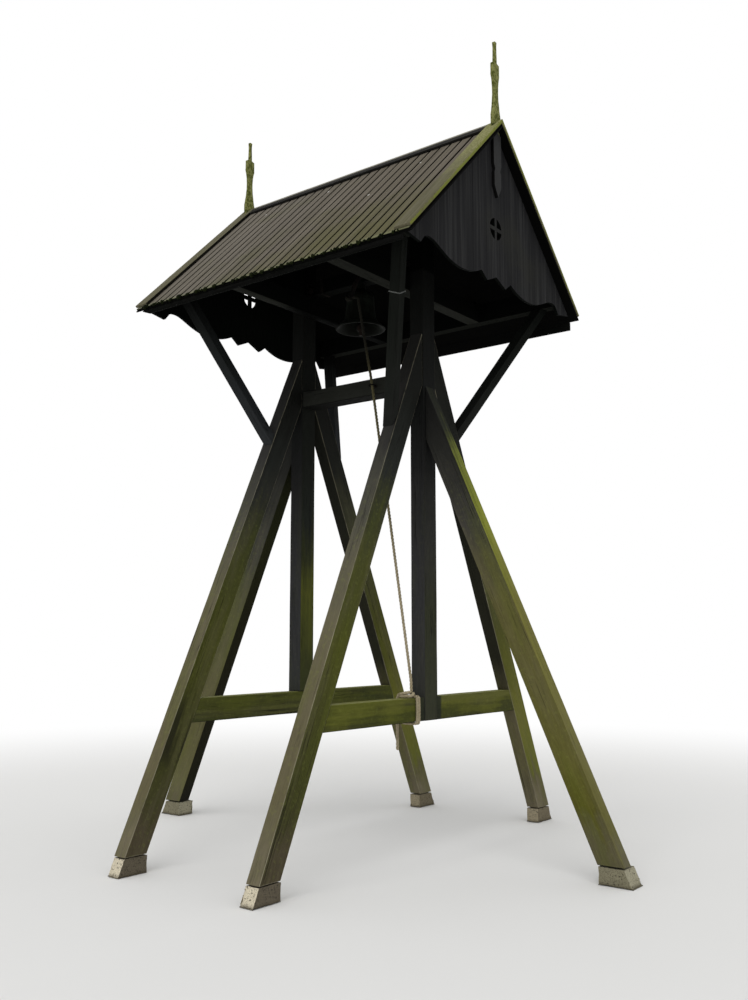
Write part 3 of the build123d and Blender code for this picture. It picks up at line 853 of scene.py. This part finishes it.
# %% Verge finish and moss finish
def verge_finish(name, sy, lichened_share):
    """Beige wood with lichen above, moss on the outer edge, and painted shadow on the faces
    inside.
    """
    finish = Finish(name, 0.9, 0.06)
    down, _ = slope_axes(sy)
    low = finish.at(down) + RIDGE * math.sin(PITCH)
    streak = finish.streaks(down, 1.5, 50, 4)
    spots = finish.noise(60, 4)
    patch = finish.noise(4.0, 4)
    lichen = finish.mix((112, 112, 70), (134, 132, 92), spots.to(0.42, 0.62))
    finish.start((98, 94, 75), (82, 79, 60), streak.to(0.4, 0.65))
    finish.lay(lichen, (low + patch * 0.9).to(1.7, 0.7) * lichened_share)
    outward = finish.looks(X_RUN) * finish.at(X_RUN)
    edge = outward.to(0.5, 0.9) * patch.to(0.3, 0.5) * (0.2 + 0.6 * lichened_share)
    finish.lay((108, 114, 44), edge)
    # Painted shadow on the faces that look at the roof.
    finish.lay((20, 18, 14), outward.to(-0.4, -0.8))
    finish.shade(0.74 + streak * 0.3 + spots * 0.24)
    return finish.done(spots * 0.7 + streak * 0.3, 0.003)


def moss_finish(name, dark, pale, bare, cover):
    """Cushions of moss, dark between and pale on top, with bare wood showing through."""
    finish = Finish(name, 0.95, 0.05)
    grain = finish.noise(160)
    cushion = finish.noise(26, 4)
    patch = finish.noise(3.2, 4)
    finish.start(dark, pale, (cushion * 0.6 + grain * 0.4).to(0.36, 0.62))
    finish.lay(bare, patch.to(cover, cover + 0.12) * 0.8)
    return finish.done(grain * 0.5 + cushion, 0.006)


edge_moss = {
    "right": moss_finish("verge_moss_right", (70, 72, 34), (112, 116, 58), (92, 89, 62), 0.5),
    "left": moss_finish("verge_moss_left", (92, 88, 66), (118, 114, 90), (104, 100, 82), 0.42),
}
eave_moss = moss_finish("eave_moss", (5, 7, 3), (26, 31, 11), (12, 12, 8), 0.6)


def lumpy(piece, lift, middle):
    """Soft lumps that stand out of a piece."""
    modified(piece, "DISPLACE", texture=lump[FINE], strength=lift, mid_level=middle)
    shaded(piece, 60)


print("moss finishes", [moss.name for moss in (*edge_moss.values(), eave_moss)])

# %% Verge boards with moss along their outer edge
VERGE_THICKNESS = 0.022
MOSS_STRIP = 0.02
MOSS_DEPTH = 0.008
MOSS_SUNK = 0.004
MOSS_CELL = 0.005
moss_size = (MOSS_STRIP - 0.004, SLOPE_LENGTH - 0.07, MOSS_DEPTH)
for side, sy in SIDES.items():
    down, normal = slope_axes(sy)
    for end, sx in ENDS.items():
        finish = verge_finish(f"verge_board_finish_{end}_{side}", sy, float(end == "right"))
        worked(
            f"verge_board_{end}_{side}", "wood", finish, "mossy_board", 0.003, grain=down,
            step=0.15, wear=0.002, size=COARSE,
        )
        middle = Vector((sx * (ROOF_HALF - MOSS_STRIP / 2), 0, RIDGE))
        middle += down * (SLOPE_LENGTH / 2) + normal * (VERGE_THICKNESS - MOSS_SUNK)
        moss = box(moss_size, middle, -sy * PITCH)
        moss.name = f"verge_moss_{end}_{side}"
        modified(moss, "REMESH", mode="VOXEL", voxel_size=MOSS_CELL)
        lumpy(moss, 0.008, 0.62)
        dressed(moss, edge_moss[end], "mossy_board")
print("verges done")

# %% [markdown]
# ## Eave boards and tufts
# The upright board under the board ends is nearly black, tar and painted shade. Dark moss
# grows in the lower ends of the grooves and hangs over the edge, a lump at each joint with
# smaller ones beside it, and it gives the eave its ragged line. The near board is narrower, and
# its left end is sawn off at a slant.

# %% Eave boards and tufts
EAVE_DARK = ((4.3, 15, 15, 14), (4.5, 13, 14, 12))
NEAR_EAVE_CUTS = (
    (Vector((0, 0, 4.361)), UP),
    (Vector((-1.36, 0, 4.388)), Vector((0.34, 0, 0.94))),
)
# Nearly black: tar and painted shade.
eave_tar_and_shade = roof_timber("eave_board_finish", X_RUN, EAVE_DARK)


def tuft(place, up_slope, wide, long, deep, sy):
    """One lump of moss on the slope, at a place along X and a distance above the eave."""
    down, normal = slope_axes(sy)
    bpy.ops.mesh.primitive_ico_sphere_add(
        subdivisions=2,
        radius=1,
        location=Vector((place, 0, RIDGE)) + down * (SLOPE_LENGTH - up_slope) - normal * 0.002,
        rotation=(-sy * PITCH, 0, 0),
        scale=(wide, long, deep),
    )
    return fresh()


for side, sy in SIDES.items():
    board = worked_timber(f"eave_board_{side}", X_RUN, eave_tar_and_shade, 0.003, step=0.2, wear=0.002)
    for place, direction in NEAR_EAVE_CUTS if side == "near" else ():
        sliced(board, place, direction, "above")
    tufts = []
    for joint in joints:
        leftward = 1.15 - 0.25 * joint
        wide = chance.uniform(0.009, 0.018) * leftward
        tufts.append(tuft(joint, -0.004, wide, wide * 1.1, chance.uniform(0.012, 0.02), sy))
        long = chance.uniform(0.02, 0.05)
        tufts.append(tuft(joint, long * 0.8, 0.006, long, 0.006, sy))
        for _ in range(chance.choice((1, 2, 2, 3))):
            place = joint + chance.uniform(-0.05, 0.05)
            wide = chance.uniform(0.006, 0.014) * leftward
            tufts.append(tuft(place, -0.003, wide, wide, chance.uniform(0.006, 0.012), sy))
    row = joined(f"eave_moss_{side}", tufts)
    lumpy(row, 0.01, 0.5)
    dressed(row, eave_moss, "mossy_board")
    print(row.name, len(tufts), "tufts")

# %% [markdown]
# ## Ridge capping
# Boards close the ridge. Their arris on top carries a thin line of painted light, and the
# faces below it are dark, tar and painted shade. The line could be a strip of its own, but it
# is only painted light, so the finish draws it by its height.


# %% Ridge capping
def cap_finish():
    """Dark tar with painted shade, and painted light along the crest."""
    finish = Finish("ridge_cap_finish", 0.8)
    streak = finish.streaks(X_RUN, 0.9, 30, 4)
    painted_light_crest = finish.at(UP) + (finish.noise(5.0, 4) - 0.5) * 0.012
    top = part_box("ridge_cap")[1].z
    # Tar darkened with painted shade, and painted light along the top.
    finish.start((18, 17, 14), (34, 32, 28), streak.to(0.4, 0.7))
    finish.lay((128, 124, 110), painted_light_crest.to(top - 0.03, top - 0.022))
    return finish.done(streak)


worked("ridge_cap", "boards", cap_finish(), "roof_boards", 0.003, grain=X_RUN, step=0.2)
print("ridge capping done")

# %% [markdown]
# ## Finials
# A sawn board with a knob stands at each end of the ridge and runs down the gable's face as a
# pendant. Above the roof it is covered in yellow-green lichen. Below it the face is greyed, and
# the sawn edges are black with painted shade. The outline is sawn already, so only the arrises
# and the surface are worn here.


# %% Finials
def finial_finish(name):
    """Lichen above the roof; grey faces below it, and edges black with painted shade."""
    finish = Finish(name, 0.9, 0.08)
    streak = finish.streaks(UP, 2.0, 30, 4)
    spots = finish.noise(48, 4)
    lichen = finish.mix((74, 79, 32), (126, 127, 76), spots.to(0.38, 0.62))
    # Painted shade: faces that don't look along X, the sawn edges, are black.
    finish.start((12, 12, 12), (51, 51, 51), abs(finish.looks(X_RUN)).to(0.5, 0.8))
    finish.lay(lichen, (finish.at(UP) + (spots - 0.5) * 0.2).to(5.62, 5.72))
    finish.shade(0.76 + streak * 0.36)
    return finish.done(spots * 0.6 + streak * 0.4, 0.003)


lichened = finial_finish("finial_finish")
for end in ENDS:
    worked(
        f"finial_{end}", "board", lichened, "mossy_board", 0.004, grain=UP, step=0.03, size=FINE
    )
print("finials done")

# %% [markdown]
# ## Concrete feet
# The feet are cast blocks. Their outer faces are whitish and pitted, their sides are earthy.
# The block is cut into small cells and pressed in by a fine and a coarse noise, so the arrises
# crumble. No cell goes below the ground. Even cells let the noise bite alike on every face,
# which a few large faces couldn't show.


# %% Feet
def concrete_finish(name, across, white, earth):
    """Cast concrete, whitish on the faces that look out and earthy elsewhere."""
    finish = Finish(f"{name}_block_concrete", 0.92, 0.2)
    grit = finish.noise(220)
    stain = finish.noise(16, 4)
    pit = finish.noise(70).to(0.4, 0.33)
    speck = finish.noise(150, 2).to(0.5, 0.4)
    height = finish.at(UP)
    out = abs(finish.looks(across)) + (stain - 0.5) * 0.8
    finish.start(earth, white, out.to(0.45, 0.75))
    finish.lay((92, 86, 66), stain.to(0.55, 0.75) * 0.45)
    finish.lay((58, 52, 42), pit * 0.85)
    finish.shade(1.06 - speck * 0.34)
    finish.lay((74, 68, 54), height.to(0.035, 0.0) * 0.7)
    finish.lay((60, 54, 43), height.to(0.122, 0.129) * 0.6)
    finish.shade(0.82 + grit * 0.3)
    return finish.done(grit * 0.4 - pit * 0.8 + stain * 0.6, 0.004)


CONCRETE_CELL = 0.007
concrete = {
    name: concrete_finish(name, across, white, earth)
    for name, across, white, earth in (
        ("near", Y_RUN, (206, 196, 172), (98, 90, 75)),
        ("far", Y_RUN, (150, 140, 116), (118, 109, 88)),
        ("end", X_RUN, (158, 153, 130), (124, 119, 97)),
    )
}
for end, side in product(ENDS, concrete):
    node = f"foot_block_{end}_{side}"
    block = copied(node, f"{node}_concrete")
    modified(block, "REMESH", mode="VOXEL", voxel_size=CONCRETE_CELL)
    pressed(block, 0.012, COARSE)
    pressed(block, 0.005, FINE)
    for vertex in block.data.vertices:
        vertex.co.z = max(vertex.co.z, 0.0)
    shaded(block, 50)
    dressed(block, concrete[side], "concrete", node)
print("feet done")

# %% [markdown]
# ## Bell
# The bell is turned: one ring of points is added at the vault and extruded from ring to ring
# down the inside, round the lip and up the outside, with the small mouldings that a founder
# turns at the lip, above the sound bow and at the shoulder. A spin would make it too, but ring
# by ring the shape can be read from its list of heights.


# %% Turning and metal
def turned(name, profile, segments=72):
    """A piece turned about Z from a profile of radius and height, closed at both ends."""
    radius, height = profile[0]
    bpy.ops.mesh.primitive_circle_add(
        vertices=segments, radius=radius, fill_type="NGON", location=(0, 0, height)
    )
    piece = fresh()
    piece.name = name
    with editing(piece):
        for (before, low), (after, high) in zip(profile, profile[1:]):
            bpy.ops.mesh.extrude_region_move(
                TRANSFORM_OT_translate={"value": (0, 0, high - low)}
            )
            share = after / before
            bpy.ops.transform.resize(value=(share, share, 1), center_override=(0, 0, high))
        bpy.ops.mesh.select_all(action="SELECT")
        bpy.ops.mesh.normals_make_consistent(inside=False)
    bpy.ops.object.transform_apply()
    return piece


def metal_finish(name, dark, pale, rub, metallic):
    """Old metal: a dark skin, a paler bloom in patches, and small pits."""
    finish = Finish(name, 0.7, 0.04)
    finish.shader.inputs["Metallic"].default_value = metallic
    bloom = finish.noise(14, 5)
    pits = finish.noise(130)
    runs = finish.streaks(UP, 3, 40, 3)
    finish.start(dark, pale, (bloom * 0.6 + runs * 0.4).to(0.44, 0.64))
    finish.lay(rub, pits.to(0.58, 0.7) * 0.4)
    return finish.done(pits * 0.5 + bloom, 0.0015)


bronze = metal_finish("bell_bronze", (11, 12, 9), (20, 24, 19), (26, 24, 16), 0.15)
iron = metal_finish("old_iron", (16, 15, 14), (30, 24, 20), (26, 25, 24), 0.2)
print("metals", bronze.name, iron.name)

# %% Bell
bell_low, bell_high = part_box("bell")
BELL_RISES = [
    (0.002, 0.309), (0.086, 0.309), (0.1, 0.288), (0.107, 0.24), (0.114, 0.15),
    (0.124, 0.095), (0.144, 0.055), (0.172, 0.022), (0.199, 0.001), (0.211, 0.0005),
    (0.2145, 0.004), (0.2145, 0.009), (0.206, 0.013), (0.204, 0.016), (0.189, 0.03),
    (0.1885, 0.034), (0.184, 0.034), (0.159, 0.056), (0.159, 0.06), (0.155, 0.06),
    (0.136, 0.1), (0.1275, 0.15), (0.1235, 0.2), (0.1205, 0.245), (0.1215, 0.248),
    (0.1195, 0.252), (0.1185, 0.272), (0.1195, 0.275), (0.117, 0.279), (0.115, 0.299),
    (0.107, 0.315), (0.09, 0.328), (0.078, 0.333), (0.056, 0.334), (0.046, 0.338),
]
bell_profile = [(radius, bell_low.z + rise) for radius, rise in BELL_RISES]
bell_profile += [(0.0455, bell_high.z), (0.002, bell_high.z)]
bell = turned("bell_casting", bell_profile)
shaded(bell, 50)
dressed(bell, bronze, "bronze", "bell", body="swinging_bell")
print("bell", len(bell.data.polygons), "faces")

# %% [markdown]
# ## Iron and the headstock
# The bell hangs from an oak headstock with iron bands, which turns on pins in two bearings.
# The plain iron pieces keep their shape and get a rusty skin, and bolt heads are added where
# plates need them. The heads are small, so a six-sided cylinder on a round one is enough.


# %% Headstock, clapper and plain iron
# The headstock is tar painted darker still as the shade under the roof.
headstock_tar_and_shade = roof_timber("headstock_timber", X_RUN)
worked_timber("headstock", X_RUN, headstock_tar_and_shade, body="swinging_bell", step=0.1)
for node, width in (("clapper", 0), ("ringing_lever", 0.002), ("headstock_bands", 0.001)):
    worked(node, "iron", iron, "iron", width, "swinging_bell")
for end in ENDS:
    worked(f"bearing_{end}", "iron", iron, "iron")
for node in ("swing_pins", "bell_bolt"):
    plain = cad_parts[node]
    plain.data.materials.clear()
    plain.data.materials.append(iron)

# %% Bolt heads
BOLT_RADIUS = 0.007
BOLT_HEAD = (6, BOLT_RADIUS, 0.007)
WASHER = (24, BOLT_RADIUS * 1.6, 0.003)


def bolt_heads(name, middle, spread, axis, body):
    """Four six-sided heads on round washers, spread round a middle on a face."""
    turn = Vector(axis).to_track_quat("Z", "Y").to_euler()
    heads = []
    for aside, rise in product((-1, 1), repeat=2):
        centre = middle + Vector((aside * spread[0], aside * spread[1], rise * spread[2]))
        for sides, wide, thick in (WASHER, BOLT_HEAD):
            half = Vector(axis) * thick / 2
            bpy.ops.mesh.primitive_cylinder_add(
                vertices=sides, radius=wide, depth=thick, location=centre + half, rotation=turn
            )
            heads.append(fresh())
            centre = centre + half * 2
    piece = joined(name, heads)
    eased(piece, BOLT_RADIUS * 0.12)
    shaded(piece)
    return dressed(piece, iron, "iron", body=body)


AXIS_HEIGHT = 4.74
BEARING_PLATE = 0.012
BEARING_SPREAD = (0, 0.033, 0.058)
LEVER_X = 0.24
LEVER_PLATE = 0.008
LEVER_SPREAD = (0.032, 0, 0.042)
for end, sx in ENDS.items():
    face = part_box(f"king_post_{end}")[0 if sx > 0 else 1].x - sx * BEARING_PLATE
    middle, axis = Vector((face, 0, AXIS_HEIGHT)), (-sx, 0, 0)
    bolt_heads(f"bearing_bolts_{end}", middle, BEARING_SPREAD, axis, "tower")
middle = Vector((LEVER_X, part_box("headstock")[0].y - LEVER_PLATE, AXIS_HEIGHT))
bolt_heads("lever_bolts", middle, LEVER_SPREAD, (0, -1, 0), "swinging_bell")
print("iron done")

# %% [markdown]
# ## Rope
# One laid rope runs from the lever through the guide eye to a hitch on the lower tie. Its
# line is a smooth spline through the given points of the construction. The three strands
# are helices that follow that line, so the lay shows in the outline.


# %% A thread and its route
def thread(name, kind, lines, thickness=0.0, rounds=1):
    """A curve with a spline through each list of points, thickened if asked."""
    curve = bpy.data.curves.new(name, "CURVE")
    curve.dimensions = "3D"
    curve.bevel_depth = thickness
    curve.bevel_resolution = rounds
    curve.use_fill_caps = True
    for points in lines:
        spline = curve.splines.new(kind)
        spline.points.add(len(points) - 1)
        for knot, point in zip(spline.points, points):
            knot.co = (*point, 1)
    return placed(name, curve)


def route(name, knots, step):
    """Points at even steps along a smooth spline through the knots, and its length."""
    carrier = thread(f"{name}_route", "NURBS", [knots])
    spline = carrier.data.splines[0]
    spline.order_u = 3
    spline.use_endpoint_u = True
    spline.resolution_u = 40
    points = [v.co.copy() for v in bpy.data.meshes.new_from_object(carrier).vertices]
    bpy.data.objects.remove(carrier)
    lengths = [(b - a).length for a, b in zip(points, points[1:])]
    total = sum(lengths)
    count = max(2, round(total / step))
    result = []
    index, gone = 0, 0.0
    for number in range(count + 1):
        target = total * number / count
        while index < len(lengths) - 1 and gone + lengths[index] < target:
            gone += lengths[index]
            index += 1
        share = (target - gone) / max(lengths[index], 1e-9)
        result.append(points[index].lerp(points[index + 1], min(1.0, share)))
    return result, total


print("threads ready")

# %% Laid rope
ROPE = 0.024
STRAND_SHARE = 0.232


def laid_rope(name, knots, diameter=ROPE, lay=0.085, step=0.006):
    """Three strands twisted round a line, as one mesh, with the line and its length."""
    line, total = route(name, knots, step)
    strand = diameter * STRAND_SHARE
    offset = diameter / 2 - strand
    side = X_RUN
    sides = []
    for index in range(len(line)):
        before = line[max(0, index - 1)]
        after = line[min(len(line) - 1, index + 1)]
        forward = (after - before).normalized()
        side = side - forward * side.dot(forward)
        if side.length < 0.05:
            side = forward.orthogonal()
        side.normalize()
        sides.append((side.copy(), forward.cross(side)))
    strands = []
    for turn in range(3):
        strands.append([])
        for index, (point, (side, up)) in enumerate(zip(line, sides)):
            angle = math.tau * (total * index / (len(line) - 1) / lay + turn / 3)
            place = point + side * (offset * math.cos(angle)) + up * (offset * math.sin(angle))
            strands[-1].append(place)
    pick(thread(name, "POLY", strands, strand))
    bpy.ops.object.convert(target="MESH")
    piece = fresh()
    shaded(piece, 60)
    return piece, [tuple(p) for p in line], total


print("strands", round(ROPE * STRAND_SHARE * 2000, 1), "mm thick")


# %% Hemp, and the rope from the lever
def hemp_finish():
    """Weathered hemp: pale fibres, darker where it is dirty and up in the roof's shade."""
    finish = Finish("hemp", 0.9, 0.1)
    fibre = finish.noise(420)
    height = finish.at(UP)
    finish.start((128, 116, 90), (192, 180, 152), fibre.to(0.42, 0.58))
    finish.lay((108, 98, 78), finish.noise(9, 4).to(0.48, 0.72) * 0.7)
    finish.lay((104, 98, 70), height.to(1.9, 3.0))
    finish.lay((24, 23, 18), height.to(3.45, 4.1))
    return finish.done(fibre, 0.001)


rope_points = [
    (0.2553, -0.42, 4.4),
    (0.31, -0.42, 4.4),
    (0.312, -0.418, 4.345),
    (0.3053, -0.3948, 4.2956),
    (0.2456, -0.1884, 3.8573),
    (0.228, -0.1275, 3.728),
    (0.2528, -0.1306, 3.5862),
    (0.6327, -0.178, 1.4089),
    (0.649, -0.18, 1.3153),
    (0.649, -0.18, 1.2206),
]
rope_exit = Vector(rope_points[0])
hemp = hemp_finish()
rope, rope_line, rope_length = laid_rope("rope_strands", rope_points)
print("rope", round(rope_length, 3), "m", len(rope.data.polygons), "faces")

# %% [markdown]
# ## Knot, hitch and tail
# The rope is stopped behind the lever's eye with a knot, hitched round the lower tie with two
# turns and a bunch of loops on top, and its loose end hangs down behind the tie. A tangle
# could be pulled tight by a simulation, but a short list of points that passes round the
# timber at the rope's own radius stays where it is put.

# %% Tail
tail_low, tail_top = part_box("rope_tail")
tail_x = (tail_low.x + tail_top.x) / 2
tail_y = (tail_low.y + tail_top.y) / 2
tail_points = [(tail_x, tail_y, tail_top.z), (tail_x, tail_y, tail_low.z)]
tail, tail_line, tail_length = laid_rope("rope_tail_strands", tail_points)
print("tail", round(tail_length, 3), "m")

# %% Hitch
tie_low, tie_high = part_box("lower_tie_right")
HITCH_Y = -0.18
SECOND_Y = HITCH_Y - ROPE * 0.98
HITCH_LAY = 0.07
CLEAR = 0.0005
TURN_CORNER = 0.012
TIE_X = 0.649
TIE_HALF = 0.060
reach_x = TIE_HALF + ROPE / 2 + CLEAR
top_z = tie_high.z + ROPE / 2 + CLEAR
low_z = tie_low.z - ROPE / 2 - CLEAR


def around_tie(y):
    """Points of one turn round the tie."""
    left, right = TIE_X - reach_x, TIE_X + reach_x
    return [
        (TIE_X - 0.02, y, top_z),
        (right - TURN_CORNER, y, top_z),
        (right, y, top_z - TURN_CORNER),
        (right, y, low_z + TURN_CORNER),
        (right - TURN_CORNER, y, low_z),
        (left + TURN_CORNER, y, low_z),
        (left, y, low_z + TURN_CORNER),
        (left, y, top_z - TURN_CORNER),
        (left + TURN_CORNER, y, top_z),
        (TIE_X - 0.01, y, top_z),
    ]


LOOPS = (
    (0.01, HITCH_Y - 0.01, 0.02), (0.05, -0.21, 0.024), (0.058, -0.25, 0.006),
    (0.02, -0.275, 0), (-0.04, -0.268, 0), (-0.07, -0.235, 0.006), (-0.05, -0.2, 0.022),
    (0, -0.2, 0.03), (0.035, -0.235, 0.03), (0.005, -0.268, 0.024), (-0.045, -0.262, 0.018),
)
loops = [(TIE_X + aside, y, top_z + rise) for aside, y, rise in LOOPS]
loops += [(tail_x + 0.004, tail_y, top_z + 0.006), (tail_x, tail_y, top_z - 0.03)]
parts = []
for name, points in (
    ("turn", around_tie(HITCH_Y)),
    ("second_turn", around_tie(SECOND_Y)),
    ("bunch", loops),
):
    parts.append(laid_rope(f"hitch_{name}", points, lay=HITCH_LAY)[0])
hitch = joined("rope_hitch_strands", parts)
dressed(hitch, hemp, "rope", "rope_hitch")
print("hitch", len(hitch.data.polygons), "faces")

# %% Knot behind the lever
knot_low, knot_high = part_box("rope_knot")
_, KNOT_Y, KNOT_Z = rope_exit
KNOT_INSET = 0.027
STUB_INSET = 0.006
KNOT_RADIUS = 0.015
KNOT_LENGTH = 0.028
KNOT_ROPE = 0.022
knot_points = []
for index in range(13):
    angle = math.tau * index / 6
    knot_points.append(
        (
            knot_low.x + KNOT_INSET + (index / 12 - 0.5) * KNOT_LENGTH,
            KNOT_Y + KNOT_RADIUS * math.cos(angle),
            KNOT_Z + KNOT_RADIUS * math.sin(angle),
        )
    )
knot_turns, _, _ = laid_rope("knot_turns", knot_points, KNOT_ROPE, 0.05, 0.004)
stub = [(knot_low.x + STUB_INSET, KNOT_Y, KNOT_Z), (knot_high.x, KNOT_Y, KNOT_Z)]
knot_stub, _, _ = laid_rope("knot_stub", stub)
knot = joined("rope_knot_strands", [knot_turns, knot_stub])
dressed(knot, hemp, "rope", "rope_knot", body="swinging_bell")
print("knot", len(knot.data.polygons), "faces")

# %% Rope and tail take their places
rope.data.materials.append(hemp)
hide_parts("rope")
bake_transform(rope)
dressed(tail, hemp, "rope", "rope_tail")
print("cords", rope.name, tail.name)

# %% Guide eye
worked("rope_guide", "iron", iron, "iron")
print("rope done")

# %% [markdown]
# ## Wire and plate
# A zinc wire is wound twice round the near right brace, close below the roof, and a small grey
# plate is nailed to the right post under the beam. Each turn of the wire is a ring with the
# section of the brace, a little larger, swept with a thin round wire.


# %% Zinc, and the section of a leaning timber
def zinc_finish():
    """Dull zinc, pale, with darker spots."""
    finish = Finish("zinc", 0.55, 0.3)
    spots = finish.noise(160)
    finish.start((76, 78, 76), (112, 114, 110), spots.to(0.4, 0.6))
    return finish.done(spots, 0.0005)


zinc = zinc_finish()
WIRE = 0.0016


def section_at(node, height):
    """Corners of a leaning node where a plane square to it cuts it, in order round it."""
    run = run_of(node)
    low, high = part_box(node)
    centre = (low + high) / 2
    centre += run * (height - centre.z) / run.z
    piece = copied(node, f"{node}_section")
    with editing(piece):
        bpy.ops.mesh.bisect(plane_co=centre, plane_no=run, clear_inner=True)
    corners = [v.co.copy() for v in piece.data.vertices if abs((v.co - centre).dot(run)) < CLEAR]
    bpy.data.objects.remove(piece)
    middle = sum(corners, Vector()) / len(corners)
    across = (corners[0] - middle).normalized()
    along = run.cross(across)
    corners.sort(key=lambda p: math.atan2((p - middle).dot(along), (p - middle).dot(across)))
    return [point + (point - middle).normalized() * WIRE * 1.2 for point in corners]


print("wire", WIRE * 2000, "mm thick")

# %% Wire round the brace and plate on the post
WIRE_HEIGHTS = (4.15, 4.1542)
PLATE_SIZE = (0.004, 0.026, 0.014)
PLATE_OUT = 0.001
PLATE_PLACE = (0.004, 3.39)
turns = []
for index, height in enumerate(WIRE_HEIGHTS):
    corners = section_at("corner_brace_right_near", height)
    wire = thread(f"wire_turn_{index}", "POLY", [corners], WIRE, 2)
    wire.data.splines[0].use_cyclic_u = True
    pick(wire)
    bpy.ops.object.convert(target="MESH")
    turns.append(wire)
wires = joined("brace_wire", turns)
shaded(wires, 60)
dressed(wires, zinc, "iron")

plate = box(PLATE_SIZE, (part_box("centre_post_right")[1].x + PLATE_OUT, *PLATE_PLACE))
plate.name = "post_plate"
eased(plate, 0.0008)
dressed(plate, zinc, "iron")
print("wire", len(wires.data.polygons), "faces")

# %% [markdown]
# ## Floor, light and background
# The floor is plain and pale, and it fades to white far from the tower. An even white sky and
# one broad soft lamp light the timber at a plain level.


# %% Floor
def floor_finish():
    """Plain and pale, fading to white far from the tower."""
    finish = Finish("floor", 0.9)
    finish.shader.inputs["Base Color"].default_value = (0.78, 0.77, 0.75, 1)
    away = finish.vector("LENGTH", {0: finish.place}, "Value")
    pale = Reading(finish, finish.shader.outputs[0])
    white = finish.node("ShaderNodeEmission", {}, {"Color": (1, 1, 1, 1)})
    inputs = {0: away.to(4.5, 12.0), 1: pale, 2: white}
    finish.ends_in(finish.node("ShaderNodeMixShader", {}, inputs), "Material Output", "Surface")
    return finish.material


bpy.ops.mesh.primitive_circle_add(vertices=96, radius=60, fill_type="NGON", location=(0, 0, 0))
floor = fresh()
floor.name = "floor"
floor.data.materials.append(floor_finish())
print("floor laid")

# %% Sky and lamp
world = bpy.data.worlds.new("sky")
world.use_nodes = True
bpy.context.scene.world = world
sky = Graph(world.node_tree)
background = "ShaderNodeBackground"
pale = sky.node(background, {}, {"Color": (0.97, 0.985, 1.0, 1), "Strength": 0.72})
white = sky.node(background, {}, {"Color": (1, 1, 1, 1)})
camera_ray, glossy_ray, passing_ray = [
    sky.node("ShaderNodeLightPath", {}, {}, f"Is {kind} Ray")
    for kind in ("Camera", "Glossy", "Transmission")
]
seen = camera_ray + glossy_ray + passing_ray
sky.ends_in(
    sky.node("ShaderNodeMixShader", {}, {0: seen, 1: pale, 2: white}), "World Output", "Surface"
)

lamp = placed("soft_lamp", bpy.data.lights.new("soft_lamp", "SUN"))
lamp.data.energy = 1.2
lamp.data.angle = math.radians(50)
lamp.rotation_euler = towards(Vector((-0.25, 0.75, -1.0)))
bpy.context.scene.view_settings.view_transform = "Standard"
print("lit")
